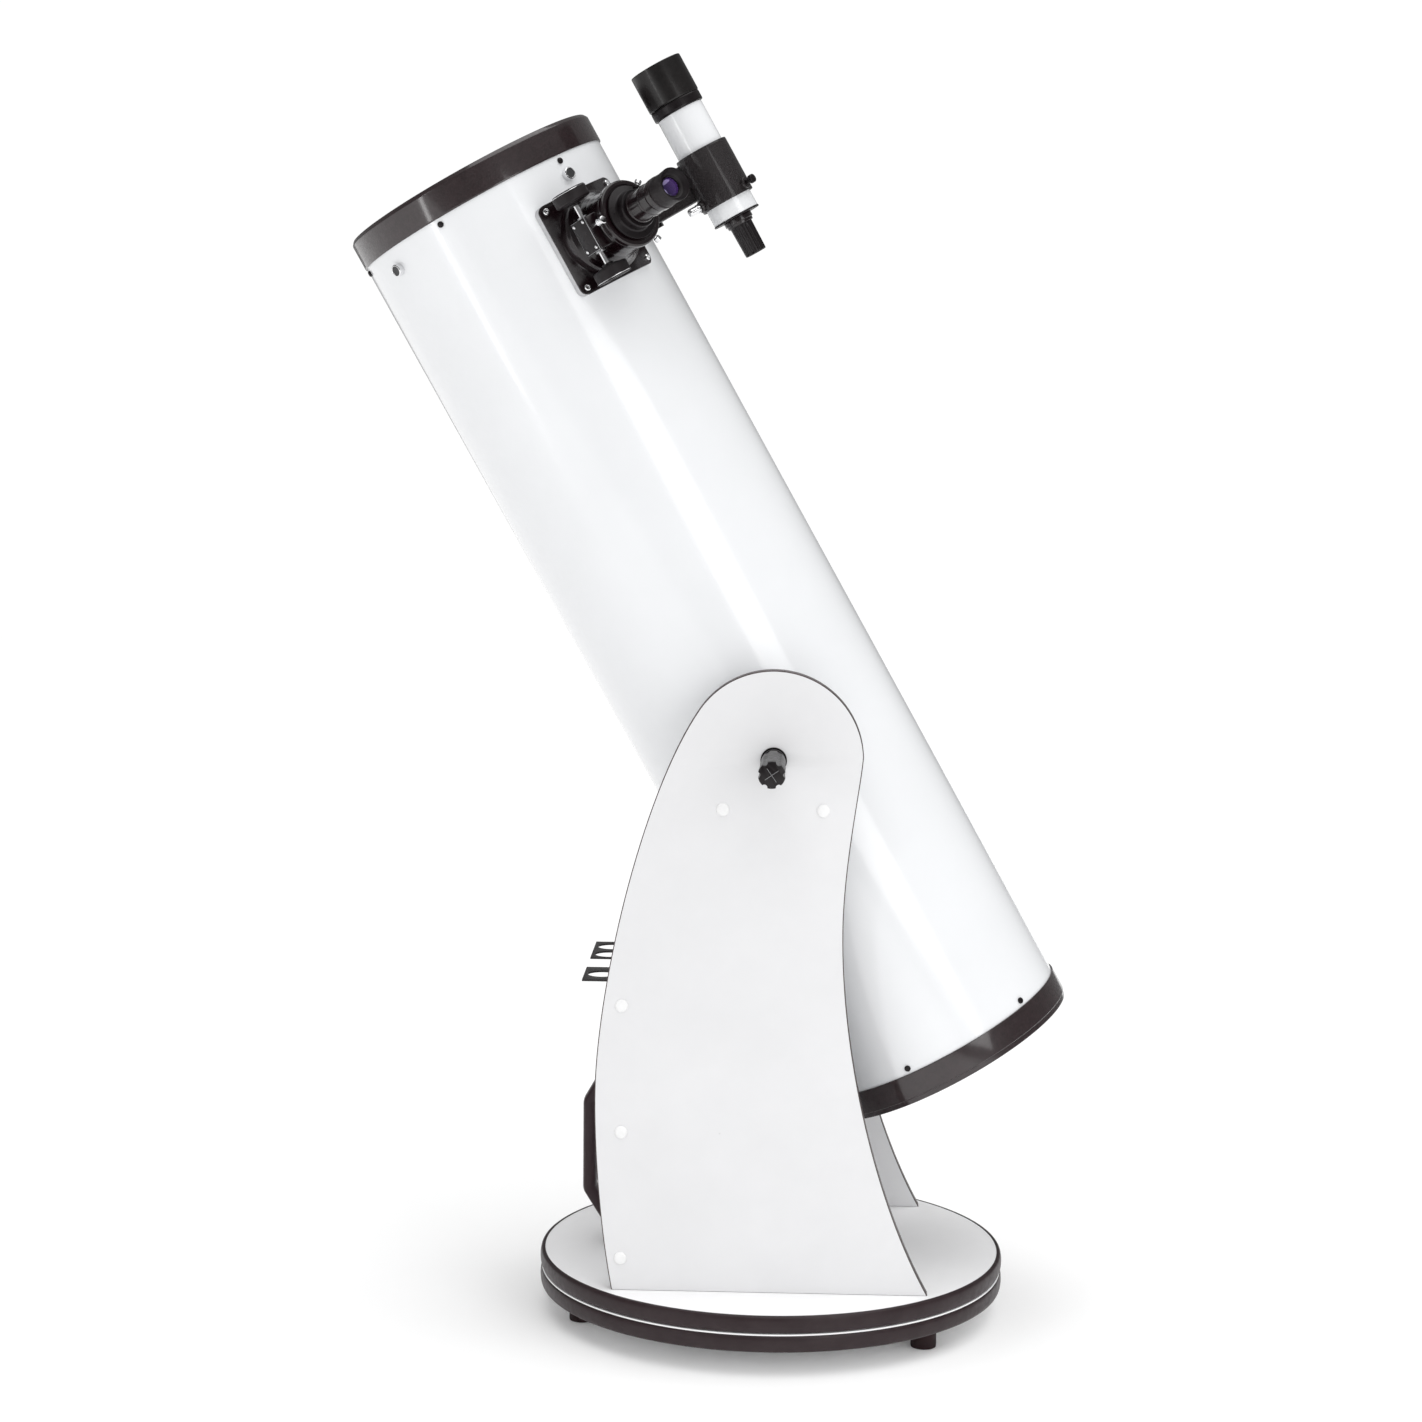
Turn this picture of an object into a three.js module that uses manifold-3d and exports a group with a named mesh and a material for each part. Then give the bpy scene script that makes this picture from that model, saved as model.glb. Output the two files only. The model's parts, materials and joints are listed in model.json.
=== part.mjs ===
// Dobsonian telescope: a ten-inch Newtonian tube on a rocker box that turns on a ground board.
// Millimetres, +Z up, +X towards the back of the rocker, -Y towards the near side panel.
// The model is laid out round the azimuth axis and, at the end, moved so that the origin is
// at the bottom centre of its bounding box.
import * as THREE from 'three';
import { mergeVertices } from 'three/addons/utils/BufferGeometryUtils.js';
import Module from 'manifold-3d';

const wasm = await Module();
wasm.setup();

// ---------------------------------------------------------------- driving dimensions
const GAP = 0.3;                  // clearance between pieces that touch

const FOOT_HEIGHT = 28;
const FOOT_RADIUS = 14;
const FOOT_CIRCLE = 221;          // feet on this radius
const FOOT_ANGLES = [-40, -160, 80];
const BOARD = 18;                 // base board thickness
const BOARD_RADIUS = 255;
const EDGING = 5;                 // how far the rounded edging stands out
const BOARD_SPACING = 3;          // room for the bearing ring between the two base boards
const BEARING_RING = [185, 210];
const BOLT_RADIUS = 6;
const PANEL = 16;                 // side and front panel thickness
const PANEL_OUTER = 177;          // outer face of a side panel from the middle plane
const ALTITUDE_ABOVE_BOARD = 578; // altitude axis above the rocker board
const PANEL_TOP_RADIUS = 94.5;
const FRONT_BOARD_X = -166.8;     // outer face of the front board
const FRONT_BOARD_HEIGHT = 347;
const ALTITUDE_DEG = 60.63;       // tube elevation at rest

const TUBE_RADIUS = 144;
const TUBE_WALL = 1;
const TUBE_FRONT = 691.5;         // distances along the tube count from the altitude axis
const TUBE_REAR = -398.5;
const RING_RADIUS = 145.8;
const FRONT_RING = [664.6, 697.4];
const REAR_RING = [-404.5, -372.5];
const BEARING_RADIUS = 60;
const BUSHING_RADIUS = 14.7;
const BUSHING_CIRCLE = 75;        // bushing axes from the altitude axis, 45 degrees below it
const HANDLE_LENGTH = 109;
const HANDLE_RADIUS = 14.2;
const STUD_RADIUS = 5;

const MIRROR_RADIUS = 127;
const MIRROR_THICKNESS = 25;
const MIRROR_FRONT = -350;
const FOCAL_LENGTH = 1180;
const KNOB_CIRCLE = 96;           // collimation knobs on this radius
const SPIDER_STATION = 641.5;
const VANE_ANGLES = [45, 135, 225, 315];
const SECONDARY_AXIS_RADIUS = 31; // minor radius of the diagonal mirror

const FOCUSER_STATION = 571.5;
const FOCUSER_ANGLE = 43;         // from the near side, towards the top of the tube
const PLATE_OUTER = 152;
const PLATE_HALF_ANGLE = 20.5;
const PLATE_LENGTH = 103.6;
const DRAWTUBE_BORE = 25.5;
const DRAWTUBE_RADIUS = 28.5;
const PINION_X = -36.5;           // pinion axis in the focuser's own frame
const PINION_Z = 181;
const GEAR_TEETH = 12;
const GEAR_PITCH_RADIUS = 5;
const GEAR_MODULE = 2 * GEAR_PITCH_RADIUS / GEAR_TEETH;
const HOUSING = [171, 195.5];     // pinion housing, from its floor to its top
const HOUSING_HALF_WIDTH = 18.5;
const HOUSING_FACE = -45;
const LOCK_SCREW = [-41, 5.8];    // focus lock screw on the pinion housing
const LOCK_SCREW_TIP = 188.6;
const COLLAR_RADIUS = 36.5;
const COLLAR = [200.5, 210.5];
const COLLAR_SCREW_ANGLES = [38, -62];
const COLLAR_SCREW_Z = 205.5;
const ADAPTER_SCREW_ANGLE = 55;
const ADAPTER_SCREW_Z = 219.5;
const TUBE_OPENING = 35;          // radius of the hole under the focuser
const RACK_TEETH_BELOW = 14;      // rack teeth below the pinion when racked in

const FINDER_ANGLE = 80;
const FINDER_DISTANCE = 240;      // finder axis from the tube axis
const FINDER_BARREL = 26;
const FINDER_RING_BORE = 28.3;
const FINDER_PIVOT = 594;         // the rubber ring that the finder tilts in
const BRACKET_RING = [538, 600];
const STEM = [554.5, 596];
const SHOE = [551, 599];
const ADJUSTER_ANGLES = [-25, 95];
const ADJUSTER_STATION = 546;
const PLUNGER_ANGLE = 215;
const DOVETAIL_NARROW = 10;       // half widths of the dovetail foot
const DOVETAIL_WIDE = 14;

const FINE = 56;
const MEDIUM = 24;
const COARSE = 12;

const BASE_TOP = FOOT_HEIGHT + BOARD + BOARD_SPACING + BOARD;
const ALTITUDE_HEIGHT = BASE_TOP + ALTITUDE_ABOVE_BOARD;

// ---------------------------------------------------------------- finishes
const finish = (color, roughness, metalness = 0) => (
  new THREE.MeshStandardMaterial({ color, roughness, metalness }));
const whiteMelamine = finish(0xececec, 0.45);
const whitePaint = finish(0xf4f5f6, 0.2);
const darkEdging = finish(0x2c2124, 0.5);
const texturedPaint = finish(0x1f1a1b, 0.35);
const blackPlastic = finish(0x151314, 0.45);
const blackAnodised = finish(0x181617, 0.3, 0.4);
const chrome = finish(0xd8d8d8, 0.12, 1);
const nylon = finish(0xf1efe8, 0.5);
const castAluminium = finish(0x9a9b9c, 0.5, 0.8);
const mirrorCoating = finish(0xf2f4f6, 0.02, 1);
const lensGlass = finish(0x3b2a55, 0.05, 0.2);
const rubber = finish(0x111111, 0.8);

// ---------------------------------------------------------------- solid modelling helpers
const radians = THREE.MathUtils.degToRad;

// Turns a closed geometry into a solid, whichever way its faces point.
function solid(geometry) {
  const bare = geometry.clone();
  bare.deleteAttribute('normal');
  bare.deleteAttribute('uv');
  const merged = mergeVertices(bare, 1e-4);
  const points = merged.attributes.position.array;
  const corners = merged.index.array;
  const at = (i) => new THREE.Vector3().fromArray(points, 3 * i);
  const kept = [];
  let volume = 0;
  for (let i = 0; i < corners.length; i += 3) {
    const [a, b, c] = corners.slice(i, i + 3);
    if (a !== b && b !== c && c !== a) {
      kept.push([a, b, c]);
      volume += at(a).dot(at(b).cross(at(c)));
    }
  }
  const facing = volume > 0 ? kept : kept.map(([a, b, c]) => [a, c, b]);
  return new wasm.Manifold(new wasm.Mesh({
    numProp: 3,
    vertProperties: new Float32Array(points),
    triVerts: new Uint32Array(facing.flat()),
  }));
}

// Revolves [radius, z] corners about Z.
function turned(profile, segments = MEDIUM) {
  const outline = profile.map(([r, z]) => new THREE.Vector2(r, z));
  return solid(new THREE.LatheGeometry(outline, segments).rotateX(Math.PI / 2));
}

function rod(radius, z0, z1, segments = COARSE) {
  return turned([[0, z0], [radius, z0], [radius, z1], [0, z1]], segments);
}

function pipe(inner, outer, z0, z1, segments = MEDIUM) {
  return turned([[inner, z0], [outer, z0], [outer, z1], [inner, z1], [inner, z0]], segments);
}

function block(x0, x1, y0, y1, z0, z1) {
  const box = new THREE.BoxGeometry(x1 - x0, y1 - y0, z1 - z0);
  return solid(box.translate((x0 + x1) / 2, (y0 + y1) / 2, (z0 + z1) / 2));
}

// Extrudes a shape drawn in X and Y from z0 to z1.
function prism(shape, z0, z1, curveSegments = 12) {
  const options = { depth: z1 - z0, bevelEnabled: false, curveSegments };
  return solid(new THREE.ExtrudeGeometry(shape, options).translate(0, 0, z0));
}

// Extrudes a shape drawn in X and Z from y0 to y1.
function sidePrism(shape, y0, y1, curveSegments = 12) {
  return prism(shape, -y1, -y0, curveSegments).rotate([90, 0, 0]);
}

// Lays a body drawn along Z down along X, then turns it about Z.
function laid(body, angle) {
  return body.rotate([0, 90, 0]).rotate([0, 0, angle]);
}

// An outline whose corners are given as [radius, angle in degrees].
function polarShape(corners) {
  const shape = new THREE.Shape();
  corners.forEach(([r, angle], i) => {
    const x = r * Math.cos(radians(angle));
    const y = r * Math.sin(radians(angle));
    if (i === 0) shape.moveTo(x, y);
    else shape.lineTo(x, y);
  });
  shape.closePath();
  return shape;
}

function geometryOf(body) {
  const mesh = body.getMesh();
  const geometry = new THREE.BufferGeometry();
  geometry.setAttribute('position', new THREE.BufferAttribute(mesh.vertProperties, 3));
  geometry.setIndex(new THREE.BufferAttribute(mesh.triVerts, 1));
  geometry.computeVertexNormals();
  return geometry;
}

function add(group, name, body, material) {
  const mesh = new THREE.Mesh(geometryOf(body), material);
  mesh.name = name;
  group.add(mesh);
  return mesh;
}

// A group whose local axes are the given directions.
function framed(parent, origin, xAxis, yAxis, zAxis) {
  const group = new THREE.Group();
  const basis = new THREE.Matrix4().makeBasis(xAxis, yAxis, zAxis);
  group.quaternion.setFromRotationMatrix(basis);
  group.position.copy(origin);
  parent.add(group);
  return group;
}

// ---------------------------------------------------------------- ground board and azimuth pivot
const telescope = new THREE.Group();

// Rounded edging strip round a base board.
function edging(bottom) {
  const inner = BOARD_RADIUS + GAP;
  const outer = BOARD_RADIUS + EDGING;
  const top = bottom + BOARD;
  return turned([[inner, bottom], [outer - 2.4, bottom], [outer, bottom + 5],
    [outer, top - 5], [outer - 2.4, top], [inner, top], [inner, bottom]], FINE);
}

function base(group) {
  const groundBottom = FOOT_HEIGHT;
  const rockerBottom = groundBottom + BOARD + BOARD_SPACING;
  const boltHole = rod(BOLT_RADIUS + GAP, 0, BASE_TOP + 10);
  const disc = (bottom) => rod(BOARD_RADIUS, bottom, bottom + BOARD, FINE).subtract(boltHole);
  add(group, 'ground_board', disc(groundBottom), whiteMelamine);
  add(group, 'ground_edging', edging(groundBottom), darkEdging);
  add(group, 'rocker_board', disc(rockerBottom), whiteMelamine);
  add(group, 'rocker_edging', edging(rockerBottom), darkEdging);

  FOOT_ANGLES.forEach((angle, i) => {
    const x = FOOT_CIRCLE * Math.cos(radians(angle));
    const y = FOOT_CIRCLE * Math.sin(radians(angle));
    const foot = turned([[0, 0], [FOOT_RADIUS - 1, 0], [FOOT_RADIUS, 1],
      [FOOT_RADIUS, FOOT_HEIGHT - GAP], [0, FOOT_HEIGHT - GAP]], COARSE);
    add(group, `foot_${i + 1}`, foot, rubber).position.set(x, y, 0);
  });

  // Low-friction ring that the rocker board slides on.
  const bearing = pipe(BEARING_RING[0], BEARING_RING[1], groundBottom + BOARD + GAP,
    rockerBottom - GAP, MEDIUM);
  add(group, 'azimuth_bearing_ring', bearing, nylon);

  // Pivot bolt: head under the ground board, nut and washer on top of the rocker board.
  const bolt = rod(10, groundBottom - 8, groundBottom - GAP, 6)
    .add(rod(BOLT_RADIUS, groundBottom - 8, BASE_TOP + 14))
    .add(rod(14, BASE_TOP + GAP, BASE_TOP + 2.5))
    .add(rod(10.5, BASE_TOP + 2, BASE_TOP + 11, 6));
  add(group, 'azimuth_bolt', bolt, chrome);
}

// ---------------------------------------------------------------- rocker box
// Side panel outline, z counted from the rocker board: a bowed front edge, a round top about
// the altitude axis, and a back edge that waists in and sweeps out to the foot.
function sidePanelShape() {
  const topStart = radians(146);
  const topEnd = radians(3);
  const joinX = PANEL_TOP_RADIUS * Math.cos(topStart);
  const joinZ = ALTITUDE_ABOVE_BOARD + PANEL_TOP_RADIUS * Math.sin(topStart);
  const shape = new THREE.Shape();
  shape.moveTo(-168, GAP);
  shape.bezierCurveTo(-180, 62, -187, 145, -187, 210);
  shape.bezierCurveTo(-187, 324, -140, 539, joinX, joinZ);
  shape.absarc(0, ALTITUDE_ABOVE_BOARD, PANEL_TOP_RADIUS, topStart, topEnd, true);
  shape.bezierCurveTo(93, 555, 75.4, 470, 75.4, 396);
  shape.bezierCurveTo(75.4, 260, 116, 99, 171, GAP);
  shape.closePath();
  const hole = new THREE.Path();
  hole.absarc(0, ALTITUDE_ABOVE_BOARD, STUD_RADIUS + 1.5, 0, 2 * Math.PI);
  shape.holes.push(hole);
  return shape;
}

// Grab handle on the front board: a vertical grip on two sloping legs with screwed feet.
function frontHandle() {
  const face = FRONT_BOARD_X - GAP;
  const outline = new THREE.Shape();
  outline.moveTo(face, 8);
  outline.lineTo(face - 8, 8);
  outline.lineTo(face - 16, 22);
  outline.lineTo(-212.6, 63);
  outline.lineTo(-212.6, 162);
  outline.lineTo(-209, 171);
  outline.lineTo(face - 16, 205);
  outline.lineTo(face - 8, 219);
  outline.lineTo(face, 219);
  outline.closePath();
  const opening = new THREE.Shape();
  opening.moveTo(face + 1, 32);
  opening.lineTo(face - 14, 36);
  opening.lineTo(-200, 72);
  opening.lineTo(-200, 156);
  opening.lineTo(face - 14, 191);
  opening.lineTo(face + 1, 195);
  opening.closePath();
  const handle = sidePrism(outline, -15, 15).subtract(sidePrism(opening, -16, 16));
  return handle.translate([0, 0, BASE_TOP]);
}

// Eyepiece rack: a folded plate with three small holes and one open slot for a large eyepiece.
function eyepieceRack() {
  const face = FRONT_BOARD_X - GAP;
  const depth = 40;
  const half = 104;
  const thickness = 2;
  const top = BASE_TOP + 324;
  const holeRadius = 15.9;
  const slotRadius = 25.4;
  const slotY = -11.5;
  const web = 6;
  let rack = block(face - depth, face, -half, half, top - thickness, top)
    .add(block(face - thickness, face, -half, half, top - 18, top));
  for (const y of [-72, 35, 78]) {
    const hole = rod(holeRadius, -10, 10);
    rack = rack.subtract(hole.translate([face - depth + 4 + holeRadius, y, top]));
  }
  const slot = rod(slotRadius, -10, 10, MEDIUM)
    .add(block(-60, 0, -slotRadius, slotRadius, -10, 10))
    .translate([face - depth / 2 + 11, slotY, top]);
  const kept = block(face - web, face + 20, -half, half, top - 30, top + 20);
  return rack.subtract(slot.subtract(kept));
}

function rocker(group) {
  const panelInner = PANEL_OUTER - PANEL;
  const panel = sidePrism(sidePanelShape(), -PANEL_OUTER, -panelInner, 16);
  const raised = panel.translate([0, 0, BASE_TOP]);
  add(group, 'side_panel_near', raised, whiteMelamine);
  add(group, 'side_panel_far', raised.translate([0, PANEL_OUTER + panelInner, 0]), whiteMelamine);
  const frontBoard = block(FRONT_BOARD_X, FRONT_BOARD_X + PANEL, -panelInner + GAP,
    panelInner - GAP, BASE_TOP + GAP, BASE_TOP + FRONT_BOARD_HEIGHT);
  add(group, 'front_board', frontBoard, whiteMelamine);
  add(group, 'front_handle', frontHandle(), blackPlastic);
  add(group, 'eyepiece_rack', eyepieceRack(), texturedPaint);

  // Nylon bushings that carry the altitude bearings.
  const reach = BUSHING_CIRCLE * Math.SQRT1_2;
  let number = 0;
  for (const side of [-1, 1]) {
    for (const end of [-1, 1]) {
      number += 1;
      const bushing = rod(BUSHING_RADIUS, GAP, 13, MEDIUM).rotate([side * 90, 0, 0]);
      const y = side * panelInner;
      const mesh = add(group, `altitude_bushing_${number}`, bushing, nylon);
      mesh.position.set(end * reach, y, ALTITUDE_HEIGHT - reach);
    }
  }
}

// ---------------------------------------------------------------- optical tube
const focuserX = new THREE.Vector3(Math.cos(radians(FOCUSER_ANGLE)),
  Math.sin(radians(FOCUSER_ANGLE)), 0);
const focuserZ = new THREE.Vector3(focuserX.y, -focuserX.x, 0);
const alongTube = new THREE.Vector3(0, 0, 1);

// End ring: a cap ring that wraps the tube's end, rounded on its outer edge.
function endRing(bottom, top, lipAtTop) {
  const bore = TUBE_RADIUS + GAP;
  const lip = TUBE_RADIUS - 6;
  const r = RING_RADIUS;
  if (lipAtTop) {
    const seat = TUBE_FRONT + GAP;
    return turned([[bore, bottom], [r, bottom], [r, top - 3], [r - 3, top], [lip, top],
      [lip, seat], [bore, seat], [bore, bottom]], FINE);
  }
  const seat = TUBE_REAR - GAP;
  return turned([[lip, bottom], [r - 1.4, bottom], [r - 1.2, bottom + 6], [r, bottom + 7.5],
    [r, top], [bore, top], [bore, seat], [lip, seat], [lip, bottom]], FINE);
}

function opticalTube() {
  let tube = pipe(TUBE_RADIUS - TUBE_WALL, TUBE_RADIUS, TUBE_REAR, TUBE_FRONT, FINE);
  const focuserHole = laid(rod(TUBE_OPENING, TUBE_RADIUS - 30, TUBE_RADIUS + 10, MEDIUM),
    FOCUSER_ANGLE - 90);
  tube = tube.subtract(focuserHole.translate([0, 0, FOCUSER_STATION]));
  for (const angle of VANE_ANGLES) {
    const hole = laid(rod(2.6, TUBE_RADIUS - 20, TUBE_RADIUS + 10, 12), angle);
    tube = tube.subtract(hole.translate([0, 0, SPIDER_STATION]));
  }
  return tube;
}

// Altitude bearing: a drum that fits the tube's side and rides on two bushings, with a
// threaded hole for the tension handle. Its axis is -Y.
function altitudeBearing() {
  const face = PANEL_OUTER - PANEL - 1;
  const drum = turned([[0, 120], [BEARING_RADIUS - 0.4, 120], [BEARING_RADIUS - 0.4, face - 1],
    [BEARING_RADIUS - 1.4, face], [STUD_RADIUS + GAP, face], [STUD_RADIUS + GAP, face - 14],
    [0, face - 14]], FINE);
  return drum.rotate([90, 0, 0]).subtract(rod(TUBE_RADIUS + GAP, -80, 80, FINE));
}

// Tension handle: a fluted grip with a stud through the side panel. Its axis is +Z here.
function tensionHandle() {
  const grip = [];
  for (let i = 0; i < 6; i += 1) {
    grip.push([HANDLE_RADIUS, 60 * i - 20], [HANDLE_RADIUS, 60 * i], [HANDLE_RADIUS, 60 * i + 20]);
    grip.push([HANDLE_RADIUS - 2.6, 60 * i + 25], [HANDLE_RADIUS - 2.6, 60 * i + 35]);
  }
  const start = PANEL_OUTER + GAP;
  return prism(polarShape(grip), start + 12, start + HANDLE_LENGTH)
    .add(rod(12, start + 3, start + 13))
    .add(rod(14, start, start + 3))
    .add(rod(STUD_RADIUS, PANEL_OUTER - PANEL - 13, start + 4));
}

// Mirror cell: a spoked ring just inside the tube's rear end.
function mirrorCell() {
  const bottom = TUBE_REAR + 2;
  const top = bottom + 8;
  const outer = TUBE_RADIUS - TUBE_WALL - GAP;
  let cell = pipe(118, outer, bottom, top, FINE).add(rod(38, bottom, top, MEDIUM));
  for (let i = 0; i < 3; i += 1) {
    const spoke = block(30, 122, -15, 15, bottom, top).rotate([0, 0, 120 * i + 30]);
    cell = cell.add(spoke);
  }
  for (let i = 0; i < 3; i += 1) {
    const hole = rod(3 + GAP, bottom - 5, top + 5, 12).translate([KNOB_CIRCLE, 0, 0]);
    cell = cell.subtract(hole.rotate([0, 0, 120 * i + 30]));
  }
  return cell;
}

// Mirror carrier: a round plate with three sockets that the collimation screws turn in.
function mirrorCarrier() {
  const top = MIRROR_FRONT - MIRROR_THICKNESS - 1;
  const bottom = top - 6;
  let carrier = rod(124, bottom, top, MEDIUM).subtract(rod(40, bottom - 5, top + 5, MEDIUM));
  for (let i = 0; i < 3; i += 1) {
    const socket = rod(3 + GAP, bottom - 5, bottom + 4, 12).translate([KNOB_CIRCLE, 0, 0]);
    carrier = carrier.subtract(socket.rotate([0, 0, 120 * i + 30]));
  }
  return carrier;
}

// Concave primary mirror: the front face is a shallow bowl.
function primaryMirror() {
  const steps = 3;
  const profile = [[0, MIRROR_FRONT - MIRROR_THICKNESS], [MIRROR_RADIUS, MIRROR_FRONT
    - MIRROR_THICKNESS]];
  for (let i = steps; i >= 0; i -= 1) {
    const r = MIRROR_RADIUS * i / steps;
    const sag = (MIRROR_RADIUS ** 2 - r ** 2) / (4 * FOCAL_LENGTH);
    profile.push([r, MIRROR_FRONT - sag]);
  }
  return turned(profile, FINE);
}

// Collimation knob with its screw, axis +Z.
function collimationKnob() {
  const cellBottom = TUBE_REAR + 2;
  const carrierBottom = MIRROR_FRONT - MIRROR_THICKNESS - 7;
  return rod(10, cellBottom - 8, cellBottom - GAP, 12)
    .add(rod(3, cellBottom - 4, carrierBottom + 3, 12));
}

// Spider: four thin vanes on a hub, with bolts and nuts through the tube wall.
function spider() {
  let body = rod(14, SPIDER_STATION - 12, SPIDER_STATION + 14);
  for (const angle of VANE_ANGLES) {
    const reach = TUBE_RADIUS - TUBE_WALL - GAP - 1;
    const vane = block(10, reach, -0.6, 0.6, SPIDER_STATION - 12, SPIDER_STATION + 12)
      .add(block(reach - 6, reach - 1, -3.5, 3.5, SPIDER_STATION - 6, SPIDER_STATION + 6))
      .add(rod(2.3, reach - 6, TUBE_RADIUS + 4, 12)
        .add(rod(6.8, TUBE_RADIUS + GAP, TUBE_RADIUS + 6.5))
        .rotate([0, 90, 0]).translate([0, 0, SPIDER_STATION]));
    body = body.add(vane.rotate([0, 0, angle]));
  }
  return body;
}

// Diagonal holder: a round stalk cut at 45 degrees towards the focuser.
function secondaryHolder() {
  const holder = rod(SECONDARY_AXIS_RADIUS - 3, FOCUSER_STATION, SPIDER_STATION - 20, MEDIUM)
    .add(rod(5, SPIDER_STATION - 21, SPIDER_STATION - 12.4));
  const cut = block(-200, 200, -200, 200, -200, 0).translate([0, 0, 7.5]);
  return holder.subtract(cut.rotate([0, 45, 0]).translate([0, 0, FOCUSER_STATION]))
    .rotate([0, 0, FOCUSER_ANGLE - 90]);
}

// Diagonal mirror: an ellipse seen square-on from the focuser as a circle.
function secondaryMirror() {
  const bar = rod(SECONDARY_AXIS_RADIUS, -60, 60, MEDIUM);
  const slab = block(-100, 100, -100, 100, 0, 7).rotate([0, 45, 0]);
  return bar.intersect(slab).translate([0, 0, FOCUSER_STATION])
    .rotate([0, 0, FOCUSER_ANGLE - 90]);
}

// ---------------------------------------------------------------- focuser
// In the focuser's frame Z points out of the tube and Y runs towards the tube's front.
const tubeCore = (radius) => rod(radius, -80, 80, FINE).rotate([90, 0, 0]);

function focuserPlate() {
  const half = PLATE_LENGTH / 2;
  const edge = PLATE_OUTER * Math.sin(radians(PLATE_HALF_ANGLE));
  const corner = 8;
  const outline = new THREE.Shape();
  outline.moveTo(-edge + corner, -half);
  outline.lineTo(edge - corner, -half);
  outline.absarc(edge - corner, -half + corner, corner, -Math.PI / 2, 0, false);
  outline.absarc(edge - corner, half - corner, corner, 0, Math.PI / 2, false);
  outline.absarc(-edge + corner, half - corner, corner, Math.PI / 2, Math.PI, false);
  outline.absarc(-edge + corner, -half + corner, corner, Math.PI, 1.5 * Math.PI, false);
  return prism(outline, 120, 160, 4).intersect(tubeCore(PLATE_OUTER))
    .subtract(tubeCore(TUBE_RADIUS + GAP)).subtract(rod(TUBE_OPENING, 100, 170, MEDIUM));
}

// Bell-shaped body with the pinion housing on one side.
function focuserBody() {
  const bell = turned([[0, 138], [46, 138], [46, 156], [45.2, 159.5], [41.5, 163.5],
    [37.8, 170], [35.6, 178], [34.6, 188], [34.4, 198], [33.4, 200], [0, 200]], MEDIUM);
  const housing = block(HOUSING_FACE, 0, -HOUSING_HALF_WIDTH, HOUSING_HALF_WIDTH, ...HOUSING);
  const bore = rod(DRAWTUBE_RADIUS + GAP, 100, 210, MEDIUM);
  const rackSlot = block(-33, -20, -4.6, 4.6, 100, 210);
  const gearRoom = block(HOUSING_FACE - 1, PINION_X, -4.6, 4.6, PINION_Z - 6.4, PINION_Z + 6.4)
    .add(rod(6.4, -4.6, 4.6).rotate([90, 0, 0]).translate([PINION_X, 0, PINION_Z]));
  const shaftBore = rod(3 + GAP, -30, 30).rotate([90, 0, 0]).translate([PINION_X, 0, PINION_Z]);
  const screwHole = rod(2 + GAP, LOCK_SCREW_TIP - GAP, 210).translate([...LOCK_SCREW, 0]);
  return bell.add(housing).subtract(tubeCore(PLATE_OUTER + GAP)).subtract(bore)
    .subtract(rackSlot).subtract(gearRoom).subtract(shaftBore).subtract(screwHole);
}

// Drawtube with its rack on the pinion's side and a collar on top.
function drawtube() {
  const bottom = 137;
  const rackRoot = -DRAWTUBE_RADIUS - 1.6;
  const pitch = Math.PI * GEAR_MODULE;
  let tube = pipe(DRAWTUBE_BORE, DRAWTUBE_RADIUS, bottom, 201, MEDIUM)
    .add(pipe(DRAWTUBE_BORE, COLLAR_RADIUS, ...COLLAR, MEDIUM))
    .add(block(rackRoot, -DRAWTUBE_RADIUS + 1.5, -4, 4, bottom, 196));
  for (let z = PINION_Z - RACK_TEETH_BELOW * pitch; z < 190; z += pitch) {
    const tooth = new THREE.Shape();
    tooth.moveTo(rackRoot + 0.2, -0.9);
    tooth.lineTo(PINION_X + GEAR_PITCH_RADIUS - 0.7, -0.3);
    tooth.lineTo(PINION_X + GEAR_PITCH_RADIUS - 0.7, 0.3);
    tooth.lineTo(rackRoot + 0.2, 0.9);
    tooth.closePath();
    tube = tube.add(sidePrism(tooth, -4, 4).translate([0, 0, z]));
  }
  for (const angle of COLLAR_SCREW_ANGLES) {
    const hole = laid(rod(1.8 + GAP, 20, 40, 12), angle);
    tube = tube.subtract(hole.translate([0, 0, COLLAR_SCREW_Z]));
  }
  return tube;
}

// Pinion and its shaft along Y, teeth set so that a gap faces a rack tooth.
function pinionShaft() {
  const corners = [];
  for (let i = 0; i < GEAR_TEETH; i += 1) {
    const middle = (i + 0.5) * 360 / GEAR_TEETH;
    corners.push([GEAR_PITCH_RADIUS - 0.95, middle - 8.5], [GEAR_PITCH_RADIUS + 0.7, middle - 3],
      [GEAR_PITCH_RADIUS + 0.7, middle + 3], [GEAR_PITCH_RADIUS - 0.95, middle + 8.5]);
  }
  const gear = prism(polarShape(corners), -4, 4).rotate([90, 0, 0]);
  const shaft = rod(3, -49, 49).rotate([90, 0, 0]);
  return gear.add(shaft).translate([PINION_X, 0, PINION_Z]);
}

// Focus knob, its axis along Y, hollowed to fit on the shaft's end.
function focusKnob(side) {
  const knob = turned([[3 + GAP, 35], [11, 35], [18, 37], [19.3, 38.5], [19.3, 50], [18, 51.6],
    [0, 51.6], [0, 49.3], [3 + GAP, 49.3], [3 + GAP, 35]], MEDIUM);
  return knob.rotate([side * -90, 0, 0]).translate([PINION_X, 0, PINION_Z]);
}

// Thumb screw, head outwards, axis +Z, tip at z = 0.
function thumbScrew(length, headRadius, headLength, shankRadius) {
  return rod(shankRadius, 0, length + 1, 12).add(rod(headRadius, length, length + headLength, 16));
}

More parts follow.
